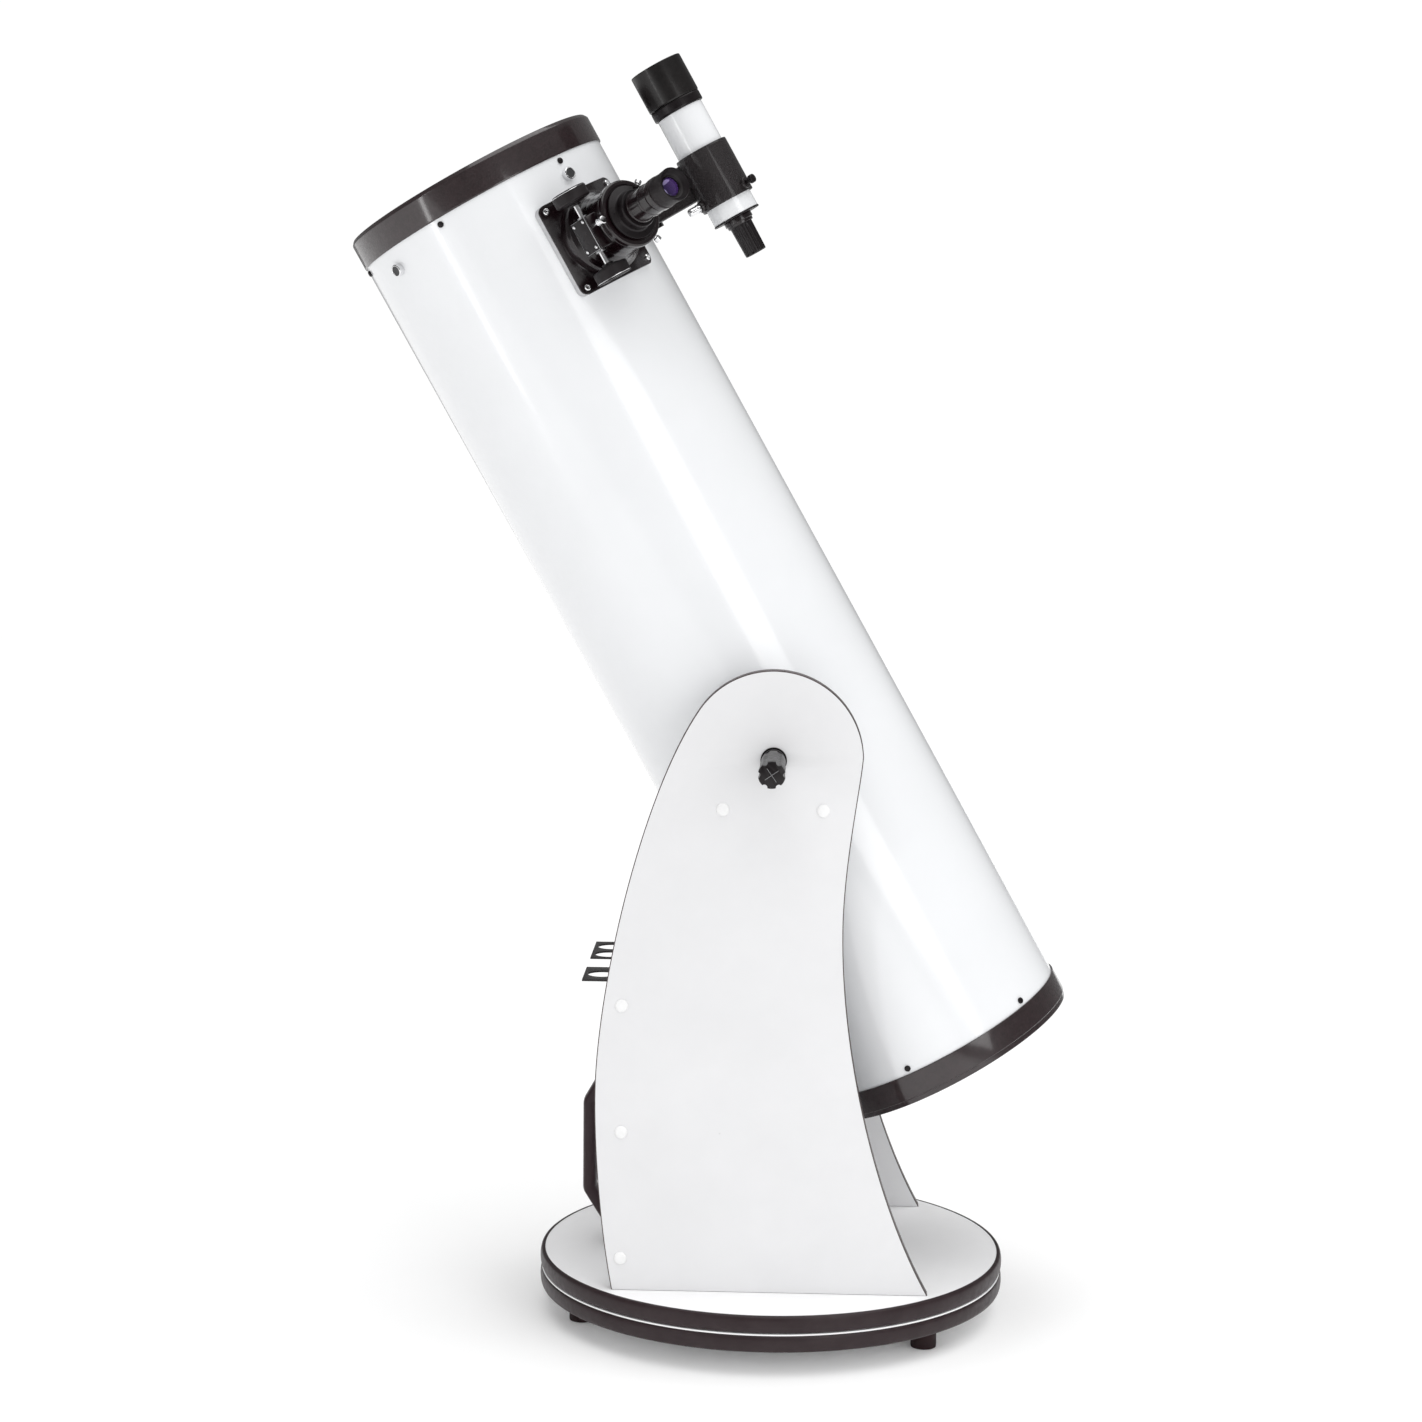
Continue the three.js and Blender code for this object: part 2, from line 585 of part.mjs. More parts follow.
function eyepieceAdapter() {
  const seat = COLLAR[1] + GAP;
  return turned([[16.1, 190], [DRAWTUBE_BORE - GAP, 190], [DRAWTUBE_BORE - GAP, seat],
    [29, seat], [29, 213.4], [21, 214.8], [21, 224], [20, 225], [16.1, 225], [16.1, 190]], MEDIUM)
    .subtract(laid(rod(1.5 + GAP, 10, 30, 12), ADAPTER_SCREW_ANGLE)
      .translate([0, 0, ADAPTER_SCREW_Z]));
}

function eyepieceBody() {
  return turned([[11, 200], [15.87, 200], [15.87, 225.3], [16.4, 225.3], [16.9, 260],
    [17.6, 262.5], [17.9, 290.6], [17.2, 292.6], [11, 284.5], [11, 200]], MEDIUM);
}

function eyepieceLens() {
  return turned([[0, 275], [10.7, 275], [10.7, 282], [8, 283.6], [4, 284.5], [0, 284.8]], MEDIUM);
}

function focuser(group) {
  add(group, 'focuser_plate', focuserPlate(), castAluminium);
  add(group, 'focuser_body', focuserBody(), blackPlastic);
  const cover = block(HOUSING_FACE - 2.2, HOUSING_FACE - GAP, -HOUSING_HALF_WIDTH,
    HOUSING_HALF_WIDTH, ...HOUSING);
  add(group, 'pinion_cover', cover, blackAnodised);
  add(group, 'drawtube', drawtube(), blackAnodised);
  add(group, 'pinion_shaft', pinionShaft(), chrome);
  add(group, 'focus_knob_upper', focusKnob(1), blackPlastic);
  add(group, 'focus_knob_lower', focusKnob(-1), blackPlastic);
  add(group, 'eyepiece_adapter', eyepieceAdapter(), blackAnodised);
  add(group, 'eyepiece_body', eyepieceBody(), blackAnodised);
  add(group, 'eyepiece_lens', eyepieceLens(), lensGlass);

  const screw = (name, angle, height, tip, body) => {
    const placed = laid(body.translate([0, 0, tip]), angle).translate([0, 0, height]);
    add(group, name, placed, chrome);
  };
  const collarTip = DRAWTUBE_BORE + GAP;
  const collarScrew = thumbScrew(11.5, 3.6, 6, 1.8);
  add(group, 'focus_lock_screw', thumbScrew(18, 4.2, 9, 2)
    .translate([...LOCK_SCREW, LOCK_SCREW_TIP]), chrome);
  screw('collar_screw_upper', COLLAR_SCREW_ANGLES[0], COLLAR_SCREW_Z, collarTip, collarScrew);
  screw('collar_screw_lower', COLLAR_SCREW_ANGLES[1], COLLAR_SCREW_Z, collarTip, collarScrew);
  screw('adapter_screw', ADAPTER_SCREW_ANGLE, ADAPTER_SCREW_Z, 16.1 + GAP, thumbScrew(6, 3, 5, 1.5));
}

// ---------------------------------------------------------------- finder
// In the finder's frame Z runs along its axis towards the sky and X points away from the tube.
// Bracket: a ring round the finder and a stem down to the shoe on the tube.
function finderBracket() {
  const ring = pipe(FINDER_RING_BORE, 29.8, ...BRACKET_RING, MEDIUM);
  const boss = rod(6, 26, 33, 16);
  const bossAt = (angle) => laid(boss, angle).translate([0, 0, ADJUSTER_STATION]);
  const stem = block(-80, -27, -8, 8, ...STEM);
  const foot = new THREE.Shape();
  foot.moveTo(-77, -DOVETAIL_NARROW);
  foot.lineTo(-77, DOVETAIL_NARROW);
  foot.lineTo(-86, DOVETAIL_WIDE);
  foot.lineTo(-86, -DOVETAIL_WIDE);
  foot.closePath();
  let bracket = ring.add(stem).add(prism(foot, ...STEM))
    .add(bossAt(ADJUSTER_ANGLES[0])).add(bossAt(ADJUSTER_ANGLES[1])).add(bossAt(PLUNGER_ANGLE))
    .subtract(rod(FINDER_RING_BORE, 500, 650, MEDIUM))
    .subtract(block(-60, -40, -20, 20, 565, 586));
  for (const angle of [...ADJUSTER_ANGLES, PLUNGER_ANGLE]) {
    const hole = laid(rod(2 + GAP, 20, 40, 12), angle);
    bracket = bracket.subtract(hole.translate([0, 0, ADJUSTER_STATION]));
  }
  return bracket;
}

// Dovetail shoe screwed to the tube.
function finderShoe() {
  const outer = new THREE.Shape();
  outer.moveTo(-98, -19);
  outer.lineTo(-98, 19);
  outer.lineTo(-78, 19);
  outer.lineTo(-78, DOVETAIL_NARROW + 0.6);
  outer.lineTo(-86.4, DOVETAIL_WIDE + 0.8);
  outer.lineTo(-86.4, -DOVETAIL_WIDE - 0.8);
  outer.lineTo(-78, -DOVETAIL_NARROW - 0.6);
  outer.lineTo(-78, -19);
  outer.closePath();
  const barrel = rod(TUBE_RADIUS + GAP, 400, 700, FINE).translate([-FINDER_DISTANCE, 0, 0]);
  return prism(outer, ...SHOE).subtract(barrel);
}

function finder(group) {
  add(group, 'finder_shoe', finderShoe(), texturedPaint);
  add(group, 'finder_bracket', finderBracket(), texturedPaint);
  add(group, 'finder_o_ring', pipe(FINDER_BARREL + 0.4, FINDER_BARREL + 2, FINDER_PIVOT - 2,
    FINDER_PIVOT + 2, MEDIUM), rubber);
  const barrel = turned([[24, 521], [22, 519], [FINDER_BARREL + 0.8, 519],
    [FINDER_BARREL + 0.8, 520.6], [FINDER_BARREL, 520.6], [FINDER_BARREL, 646.6], [24, 646.6],
    [24, 521]], MEDIUM);
  add(group, 'finder_tube', barrel, whitePaint);
  add(group, 'finder_lock_ring', pipe(24 + GAP, 28.4, 647, 657.6, MEDIUM), blackAnodised);
  const shield = turned([[23, 650], [24, 650], [24, 658], [29, 658], [29, 700.5], [27.6, 700.5],
    [27.6, 668], [23, 668], [23, 650]], MEDIUM);
  add(group, 'finder_objective_cell', shield, blackAnodised);
  const lens = turned([[0, 655], [22.7, 655], [22.7, 660], [16, 662.2], [8, 663.6], [0, 664]],
    MEDIUM);
  add(group, 'finder_lens', lens, lensGlass);
  const eyepiece = turned([[7, 476], [12, 476], [12, 509], [16, 510], [16, 518.7], [7, 518.7],
    [7, 476]], MEDIUM);
  add(group, 'finder_eyepiece', eyepiece, blackPlastic);
  const adjuster = thumbScrew(10, 4.6, 6, 2);
  ADJUSTER_ANGLES.forEach((angle, i) => {
    const placed = laid(adjuster.translate([0, 0, FINDER_BARREL + 1]), angle);
    const raised = placed.translate([0, 0, ADJUSTER_STATION]);
    add(group, `finder_adjust_screw_${i + 1}`, raised, blackAnodised);
  });
  const plunger = rod(2, FINDER_BARREL + 1, 41, 12).add(rod(5, 34, 47, 16));
  const sprung = laid(plunger, PLUNGER_ANGLE).translate([0, 0, ADJUSTER_STATION]);
  add(group, 'finder_plunger', sprung, chrome);
}

// ---------------------------------------------------------------- tube assembly
function tubeAssembly(group) {
  add(group, 'optical_tube', opticalTube(), whitePaint);
  add(group, 'front_ring', endRing(...FRONT_RING, true), texturedPaint);
  add(group, 'rear_ring', endRing(...REAR_RING, false), texturedPaint);
  add(group, 'altitude_bearing_near', altitudeBearing(), blackPlastic);
  add(group, 'altitude_bearing_far', altitudeBearing().rotate([0, 0, 180]), blackPlastic);
  add(group, 'tension_handle_near', tensionHandle().rotate([90, 0, 0]), blackPlastic);
  add(group, 'tension_handle_far', tensionHandle().rotate([-90, 0, 0]), blackPlastic);
  add(group, 'mirror_cell', mirrorCell(), castAluminium);
  add(group, 'mirror_carrier', mirrorCarrier(), castAluminium);
  add(group, 'primary_mirror', primaryMirror(), mirrorCoating);
  for (let i = 0; i < 3; i += 1) {
    const angle = radians(120 * i + 30);
    const knob = add(group, `collimation_knob_${i + 1}`, collimationKnob(), blackPlastic);
    knob.position.set(KNOB_CIRCLE * Math.cos(angle), KNOB_CIRCLE * Math.sin(angle), 0);
  }
  add(group, 'spider', spider(), blackAnodised);
  add(group, 'secondary_holder', secondaryHolder(), blackPlastic);
  add(group, 'secondary_mirror', secondaryMirror(), mirrorCoating);

  focuser(framed(group, new THREE.Vector3(0, 0, FOCUSER_STATION), focuserX, alongTube, focuserZ));

  const out = new THREE.Vector3(Math.sin(radians(FINDER_ANGLE)),
    -Math.cos(radians(FINDER_ANGLE)), 0);
  const across = new THREE.Vector3().crossVectors(alongTube, out);
  const origin = out.clone().multiplyScalar(FINDER_DISTANCE);
  finder(framed(group, origin, out, across, alongTube));
}

// ---------------------------------------------------------------- whole telescope
base(telescope);
rocker(telescope);
const tilting = new THREE.Group();
tilting.position.z = ALTITUDE_HEIGHT;
tilting.rotation.y = -radians(90 - ALTITUDE_DEG);
telescope.add(tilting);
tubeAssembly(tilting);

telescope.updateMatrixWorld(true);
const bounds = new THREE.Box3().setFromObject(telescope, true);
const centre = bounds.getCenter(new THREE.Vector3());
telescope.position.set(-centre.x, -centre.y, -bounds.min.z);

export default telescope;
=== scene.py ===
"""Looks for the Dobsonian telescope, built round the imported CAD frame.

Each group of pieces is drawn in millimetres in a frame of its own (base, tube, focuser or
finder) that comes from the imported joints, and is placed in the row frame in metres.
"""
import json
import math

import bmesh
import bpy
from mathutils import Matrix, Vector


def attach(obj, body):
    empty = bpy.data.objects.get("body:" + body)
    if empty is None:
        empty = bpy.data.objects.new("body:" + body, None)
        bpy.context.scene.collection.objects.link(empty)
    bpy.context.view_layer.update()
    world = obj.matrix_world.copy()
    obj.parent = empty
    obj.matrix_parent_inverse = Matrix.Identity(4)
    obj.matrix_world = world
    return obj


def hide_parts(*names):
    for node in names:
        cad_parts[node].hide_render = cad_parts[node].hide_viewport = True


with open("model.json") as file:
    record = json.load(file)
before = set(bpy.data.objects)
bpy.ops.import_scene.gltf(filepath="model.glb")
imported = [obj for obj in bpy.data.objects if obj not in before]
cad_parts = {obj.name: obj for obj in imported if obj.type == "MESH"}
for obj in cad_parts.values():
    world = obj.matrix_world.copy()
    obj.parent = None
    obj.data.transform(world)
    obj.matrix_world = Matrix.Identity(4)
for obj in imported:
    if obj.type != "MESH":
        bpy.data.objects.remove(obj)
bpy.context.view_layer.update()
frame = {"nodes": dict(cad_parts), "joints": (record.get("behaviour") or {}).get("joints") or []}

MM = 0.001
SCENE = bpy.context.scene

# ------------------------------------------------------------------ local frames
JOINTS = {joint["name"]: joint for joint in frame["joints"]}


def joint_point(name):
    return Vector(JOINTS[name]["pos_m"])


def joint_axis(name):
    return Vector(JOINTS[name]["axis"]).normalized()


def placed(origin, x_axis, y_axis, z_axis):
    """Matrix from a local frame in millimetres to the row frame in metres."""
    turn = Matrix((x_axis, y_axis, z_axis)).transposed().to_4x4()
    return Matrix.Translation(origin) @ turn @ Matrix.Scale(MM, 4)


FOCUSER_STATION = 571.5
PINION = (-36.5, 181.0)
FINDER_PIVOT = 594.0
ACROSS = Vector((0, 1, 0))
TUBE_AXIS = joint_axis("finder_bracket_slide")
FOCUS_AXIS = joint_axis("drawtube_slide")
ALTITUDE = joint_point("altitude_tilt")
AZIMUTH = joint_point("azimuth_turn")

BASE = placed(Vector((AZIMUTH.x, AZIMUTH.y, 0)), Vector((1, 0, 0)), ACROSS, Vector((0, 0, 1)))
TUBE = placed(ALTITUDE, ACROSS.cross(TUBE_AXIS), ACROSS, TUBE_AXIS)
FOCUSER = placed(
    ALTITUDE + TUBE_AXIS * FOCUSER_STATION * MM,
    TUBE_AXIS.cross(FOCUS_AXIS), TUBE_AXIS, FOCUS_AXIS)
FINDER = placed(
    joint_point("finder_tilt_up") - TUBE_AXIS * FINDER_PIVOT * MM,
    joint_axis("finder_tilt_sideways"), joint_axis("finder_tilt_up"), TUBE_AXIS)


def turned_frame(base, angle, height=0.0):
    """A frame whose Z runs outwards at `angle` degrees round the base frame's Z axis."""
    turn = Matrix.Rotation(math.radians(angle), 4, "Z")
    lay = Matrix.Rotation(math.radians(90), 4, "Y")
    return base @ Matrix.Translation((0, 0, height)) @ turn @ lay


# ------------------------------------------------------------------ materials
class Nodes:
    """A small wrapper for building a Principled material."""

    def __init__(self, name):
        self.material = bpy.data.materials.new(name)
        self.material.use_nodes = True
        self.tree = self.material.node_tree
        self.shader = self.tree.nodes["Principled BSDF"]
        self.coords = self.tree.nodes.new("ShaderNodeTexCoord")

    def set(self, **values):
        for key, value in values.items():
            self.shader.inputs[key.replace("_", " ")].default_value = value
        return self

    def noise(self, scale, detail=2.0, roughness=0.5, stretch=None):
        node = self.tree.nodes.new("ShaderNodeTexNoise")
        node.inputs["Scale"].default_value = scale
        node.inputs["Detail"].default_value = detail
        node.inputs["Roughness"].default_value = roughness
        self.tree.links.new(self.vector(stretch), node.inputs["Vector"])
        return node.outputs["Fac"]

    def cells(self, scale, feature="F1", smooth=0.0):
        node = self.tree.nodes.new("ShaderNodeTexVoronoi")
        node.feature = feature
        node.inputs["Scale"].default_value = scale
        if feature == "SMOOTH_F1":
            node.inputs["Smoothness"].default_value = smooth
        self.tree.links.new(self.vector(None), node.inputs["Vector"])
        return node.outputs["Distance"]

    def vector(self, stretch):
        if stretch is None:
            return self.coords.outputs["Object"]
        node = self.tree.nodes.new("ShaderNodeMapping")
        node.inputs["Scale"].default_value = stretch
        self.tree.links.new(self.coords.outputs["Object"], node.inputs["Vector"])
        return node.outputs["Vector"]

    def ramp(self, source, stops):
        """Colour ramp from (position, colour or grey) stops."""
        node = self.tree.nodes.new("ShaderNodeValToRGB")
        elements = node.color_ramp.elements
        while len(elements) < len(stops):
            elements.new(0.5)
        for element, (position, colour) in zip(elements, stops):
            if isinstance(colour, (int, float)):
                colour = (colour, colour, colour)
            element.position = position
            element.color = (*colour, 1)
        self.tree.links.new(source, node.inputs["Fac"])
        return node.outputs["Color"]

    def mix(self, factor, first, second, blend="MIX"):
        node = self.tree.nodes.new("ShaderNodeMix")
        node.data_type = "RGBA"
        node.blend_type = blend
        if isinstance(factor, (int, float)):
            node.inputs["Factor"].default_value = factor
        else:
            self.tree.links.new(factor, node.inputs["Factor"])
        self.tree.links.new(first, node.inputs["A"])
        self.tree.links.new(second, node.inputs["B"])
        return node.outputs["Result"]

    def link(self, socket, output):
        self.tree.links.new(output, self.shader.inputs[socket])
        return self

    def bump(self, height, strength, distance, under=None):
        node = self.tree.nodes.new("ShaderNodeBump")
        node.inputs["Strength"].default_value = strength
        node.inputs["Distance"].default_value = distance
        self.tree.links.new(height, node.inputs["Height"])
        if under is not None:
            self.tree.links.new(under, node.inputs["Normal"])
        return node.outputs["Normal"]


def gloss_white(name, tint):
    """Enamel on rolled steel: faint orange peel, a little haze and dust."""
    n = Nodes(name).set(Coat_Weight=0.45, Coat_Roughness=0.07)
    haze = n.noise(9, 4)
    dust = n.noise(60, 6, 0.7)
    low = tuple(c * 0.975 for c in tint)
    n.link("Base Color", n.ramp(haze, [(0.35, low), (0.65, tint)]))
    n.link("Roughness", n.ramp(dust, [(0.3, 0.17), (0.75, 0.21)]))
    n.link("Normal", n.bump(n.noise(260, 2), 0.06, 0.0004))
    return n.material


def melamine_board(name, tint):
    """Melamine-faced board: fine stipple, slight mottling, rare dark specks."""
    n = Nodes(name).set(Specular_IOR_Level=0.45)
    mottling = n.ramp(n.noise(14, 5, 0.6), [(0.3, tuple(c * 0.965 for c in tint)), (0.7, tint)])
    specks = n.ramp(n.cells(22), [(0.0, 0.45), (0.012, 0.62), (0.016, 1.0)])
    n.link("Base Color", n.mix(1.0, mottling, specks, "MULTIPLY"))
    n.link("Roughness", n.ramp(n.noise(90, 4), [(0.3, 0.38), (0.7, 0.5)]))
    coarse = n.bump(n.noise(420, 3, 0.6), 0.10, 0.0003)
    n.link("Normal", n.bump(n.noise(1600, 2), 0.12, 0.00015, coarse))
    return n.material


def hammered_paint(name, dark, light, scale, strength, coat=0.5):
    """Wrinkled black enamel on castings: pebbles that catch the light."""
    n = Nodes(name).set(Coat_Weight=coat, Coat_Roughness=0.11, Specular_IOR_Level=0.4)
    pebbles = n.cells(scale, "SMOOTH_F1", 0.45)
    n.link("Base Color", n.ramp(n.noise(scale * 0.35, 4), [(0.3, dark), (0.75, light)]))
    n.link("Roughness", n.ramp(pebbles, [(0.1, 0.3), (0.75, 0.5)]))
    fine = n.bump(n.noise(scale * 3.2, 3), strength * 0.35, 0.0004)
    n.link("Normal", n.bump(pebbles, strength, 0.0009, fine))
    return n.material


def moulded_plastic(name, dark, light, roughness=0.42, grain=900, strength=0.18, worn=None):
    """Moulded plastic or rubber with spark-eroded grain; worn is a lighter scuff colour."""
    n = Nodes(name).set(Specular_IOR_Level=0.32)
    colour = n.ramp(n.noise(45, 5, 0.6), [(0.3, dark), (0.72, light)])
    if worn is not None:
        scuffs = n.ramp(n.noise(130, 8, 0.75), [(0.66, 0.0), (0.74, 0.55)])
        wear = n.ramp(n.noise(20, 2), [(0.0, worn), (1.0, worn)])
        colour = n.mix(scuffs, colour, wear)
    n.link("Base Color", colour)
    n.link("Roughness", n.ramp(n.noise(160, 5), [(0.25, roughness - 0.07), (0.8, roughness + 0.1)]))
    n.link("Normal", n.bump(n.noise(grain, 3, 0.6), strength, 0.00025))
    return n.material


def satin_metal(name, dark, light, metallic, roughness, coat=0.0, grain=700):
    """Anodised or machined metal with fine tool marks."""
    n = Nodes(name).set(Metallic=metallic, Coat_Weight=coat, Coat_Roughness=0.15,
                        Specular_IOR_Level=0.35)
    n.link("Base Color", n.ramp(n.noise(30, 5, 0.6), [(0.3, dark), (0.7, light)]))
    n.link("Roughness", n.ramp(n.noise(240, 5), [(0.25, roughness - 0.05),
                                                 (0.8, roughness + 0.08)]))
    n.link("Normal", n.bump(n.noise(grain, 4, 0.65), 0.10, 0.00015))
    return n.material


def coated_glass(name, dark, bright):
    """Coated lens seen against a dark interior: a deep violet base colour is painted shade for that
    interior, and the coating's sheen is painted in as colour that brightens towards grazing angles.
    """
    n = Nodes(name).set(Coat_Weight=1.0, Coat_Roughness=0.01, Specular_IOR_Level=0.8,
                        Roughness=0.04)
    facing = n.tree.nodes.new("ShaderNodeLayerWeight")
    facing.inputs["Blend"].default_value = 0.35
    # Painted sheen: the colour runs from dark, seen face on, to bright at grazing angles.
    n.link("Base Color", n.ramp(facing.outputs["Facing"], [(0.1, dark), (0.8, bright)]))
    n.set(Metallic=0.55)
    n.link("Normal", n.bump(n.noise(25, 1), 0.01, 0.0002))
    return n.material


def first_surface_mirror(name):
    n = Nodes(name).set(Metallic=1.0)
    n.link("Base Color", n.ramp(n.noise(12, 3), [(0.3, 0.9), (0.7, 0.94)]))
    n.link("Roughness", n.ramp(n.noise(80, 6, 0.7), [(0.55, 0.01), (0.85, 0.06)]))
    return n.material


WHITE_PAINT = gloss_white("white_enamel", (0.825, 0.835, 0.85))
MELAMINE = melamine_board("white_melamine", (0.77, 0.77, 0.78))
# The base boards are the same white melamine as the side panels. This copy is painted lighter to
# make up for the shade that the panels and tube cast on the boards' tops.
BASE_MELAMINE_PAINTED_LIGHTER = melamine_board("base_melamine_painted_lighter", (0.93, 0.93, 0.935))
BOARD_BAND = moulded_plastic("panel_edge_band", (0.05, 0.035, 0.035), (0.09, 0.07, 0.07))
EDGING = moulded_plastic("edging_strip", (0.020, 0.010, 0.012), (0.030, 0.018, 0.020), 0.4,
                         500, 0.25, (0.12, 0.10, 0.10))
RING_PAINT = hammered_paint("ring_enamel", (0.013, 0.005, 0.006), (0.022, 0.010, 0.012), 420, 0.15,
                            1.0)
BRACKET_PAINT = hammered_paint("bracket_enamel", (0.006, 0.003, 0.004), (0.011, 0.006, 0.007),
                               800, 0.7, 0.5)
RUBBER = moulded_plastic("foot_rubber", (0.012, 0.002, 0.003), (0.020, 0.004, 0.006), 0.6)
HANDLE_PLASTIC = moulded_plastic("handle_plastic", (0.020, 0.008, 0.011), (0.030, 0.015, 0.018))
BLACK_PLASTIC = moulded_plastic("black_plastic", (0.005, 0.003, 0.004), (0.010, 0.007, 0.008),
                                0.34, 700, 0.15)
KNOB_RUBBER = moulded_plastic("knob_rubber", (0.006, 0.004, 0.005), (0.014, 0.010, 0.011), 0.5,
                              1100, 0.4)
NYLON = moulded_plastic("nylon", (0.72, 0.71, 0.67), (0.8, 0.79, 0.75), 0.45, 400, 0.1)
CAP_PLASTIC = moulded_plastic("cap_plastic", (0.83, 0.83, 0.83), (0.88, 0.88, 0.88), 0.3, 600,
                              0.05)
BODY_METAL = satin_metal("focuser_enamel", (0.005, 0.002, 0.003), (0.010, 0.005, 0.006), 0.0,
                         0.2, 0.5)
ANODISED = satin_metal("black_anodised", (0.006, 0.004, 0.005), (0.013, 0.010, 0.011), 0.3, 0.3)
SHIELD_METAL = satin_metal("shield_enamel", (0.004, 0.003, 0.003), (0.008, 0.006, 0.006), 0.0,
                           0.33, 0.15, 1500)
CHROME = satin_metal("chrome", (0.72, 0.72, 0.73), (0.85, 0.85, 0.86), 1.0, 0.1)
STEEL = satin_metal("brushed_steel", (0.3, 0.3, 0.31), (0.45, 0.45, 0.46), 1.0, 0.32)
DARK_STEEL = satin_metal("blackened_steel", (0.05, 0.05, 0.052), (0.09, 0.09, 0.092), 0.6, 0.4)
CAST = satin_metal("cast_aluminium", (0.50, 0.50, 0.51), (0.62, 0.62, 0.63), 0.55, 0.42, 0.0, 400)
TUBE_INSIDE = moulded_plastic("flat_black", (0.010, 0.010, 0.010), (0.018, 0.018, 0.018), 0.75)
# Each lens's first colour is painted shade for the dark inside, and its second colour is the
# painted sheen at grazing angles.
LENS = coated_glass("violet_lens", (0.03, 0.01, 0.09), (0.30, 0.13, 0.65))
OBJECTIVE = coated_glass("green_lens", (0.004, 0.01, 0.012), (0.02, 0.09, 0.07))
MIRROR = first_surface_mirror("mirror_coating")


# ------------------------------------------------------------------ mesh helpers
def piece(name, mesh, matrix, body, slot, *materials, replaces=(), sharp=32.0):
    """Places a mesh drawn in millimetres and lets it ride on a CAD body."""
    for material in materials:
        mesh.materials.append(material)
    mesh.transform(matrix)
    if matrix.to_3x3().determinant() < 0:
        mesh.flip_normals()
    for polygon in mesh.polygons:
        polygon.use_smooth = True
    mesh.set_sharp_from_angle(angle=math.radians(sharp))
    obj = bpy.data.objects.new(name, mesh)
    SCENE.collection.objects.link(obj)
    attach(obj, body)
    if replaces:
        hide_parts(*replaces)
    return obj


def to_mesh(name, bm):
    bmesh.ops.recalc_face_normals(bm, faces=bm.faces)
    mesh = bpy.data.meshes.new(name)
    bm.to_mesh(mesh)
    bm.free()
    return mesh


def rounded(profile, radius, steps=4):
    """Rounds the corners of an open profile; a corner may give its own radius as a third value."""
    points = [Vector(p[:2]) for p in profile]
    out = [points[0]]
    for i in range(1, len(points) - 1):
        before, corner, after = points[i - 1], points[i], points[i + 1]
        own = profile[i][2] if len(profile[i]) > 2 else radius
        a, b = before - corner, after - corner
        if own <= 0 or a.length < 1e-9 or b.length < 1e-9:
            out.append(corner)
            continue
        half = a.angle(b) / 2
        if half > math.radians(88):
            out.append(corner)
            continue
        reach = min(own / math.tan(half), a.length * 0.49, b.length * 0.49)
        start, end = corner + a.normalized() * reach, corner + b.normalized() * reach
        for k in range(steps + 1):
            t = k / steps
            out.append(start * (1 - t) ** 2 + corner * 2 * t * (1 - t) + end * t ** 2)
    out.append(points[-1])
    return [(p.x, p.y) for p in out]


def lathe(name, profile, segments=96, ripple=None):
    """Revolves (radius, z) points about Z. ripple(angle, radius, z) may change a radius."""
    closed = (Vector(profile[0][:2]) - Vector(profile[-1][:2])).length < 1e-6
    points = profile[:-1] if closed else profile
    bm = bmesh.new()
    rows = []
    for r, z in points:
        if r < 1e-6:
            rows.append([bm.verts.new((0, 0, z))])
            continue
        row = []
        for k in range(segments):
            angle = 2 * math.pi * k / segments
            here = ripple(angle, r, z) if ripple else r
            row.append(bm.verts.new((here * math.cos(angle), here * math.sin(angle), z)))
        rows.append(row)
    pairs = list(zip(rows, rows[1:]))
    if closed:
        pairs.append((rows[-1], rows[0]))
    for low, high in pairs:
        if len(low) == 1 and len(high) == 1:
            continue
        for k in range(segments):
            n = (k + 1) % segments
            if len(low) == 1:
                bm.faces.new((low[0], high[k], high[n]))
            elif len(high) == 1:
                bm.faces.new((low[k], low[n], high[0]))
            else:
                bm.faces.new((low[k], low[n], high[n], high[k]))
    return to_mesh(name, bm)


def loft(name, sections):
    """Joins loops of the same length; the first and last are closed with a face."""
    bm = bmesh.new()
    rows = [[bm.verts.new(p) for p in section] for section in sections]
    count = len(rows[0])
    for low, high in zip(rows, rows[1:]):
        for k in range(count):
            n = (k + 1) % count
            bm.faces.new((low[k], low[n], high[n], high[k]))
    bm.faces.new(rows[0][::-1])
    bm.faces.new(rows[-1])
    return to_mesh(name, bm)


def plate(name, loops, z0, z1, edge=0.5):
    """A flat plate with rounded edges. The first loop is its outline, the others are holes."""
    curve = bpy.data.curves.new(name, "CURVE")
    curve.dimensions = "2D"
    curve.fill_mode = "BOTH"
    for loop in loops:
        spline = curve.splines.new("POLY")
        spline.points.add(len(loop) - 1)
        for point, (x, y) in zip(spline.points, loop):
            point.co = (x, y, 0, 1)
        spline.use_cyclic_u = True
    curve.extrude = (z1 - z0) / 2 - edge
    curve.bevel_depth = edge
    curve.bevel_resolution = 2
    curve.offset = -edge
    holder = bpy.data.objects.new(name, curve)
    SCENE.collection.objects.link(holder)
    bpy.context.view_layer.update()
    graph = bpy.context.evaluated_depsgraph_get()
    mesh = bpy.data.meshes.new_from_object(holder.evaluated_get(graph))
    bpy.data.objects.remove(holder)
    bpy.data.curves.remove(curve)
    bm = bmesh.new()
    bm.from_mesh(mesh)
    bmesh.ops.remove_doubles(bm, verts=bm.verts, dist=1e-4)
    bmesh.ops.translate(bm, verts=bm.verts, vec=(0, 0, (z0 + z1) / 2))
    return to_mesh(name, bm)


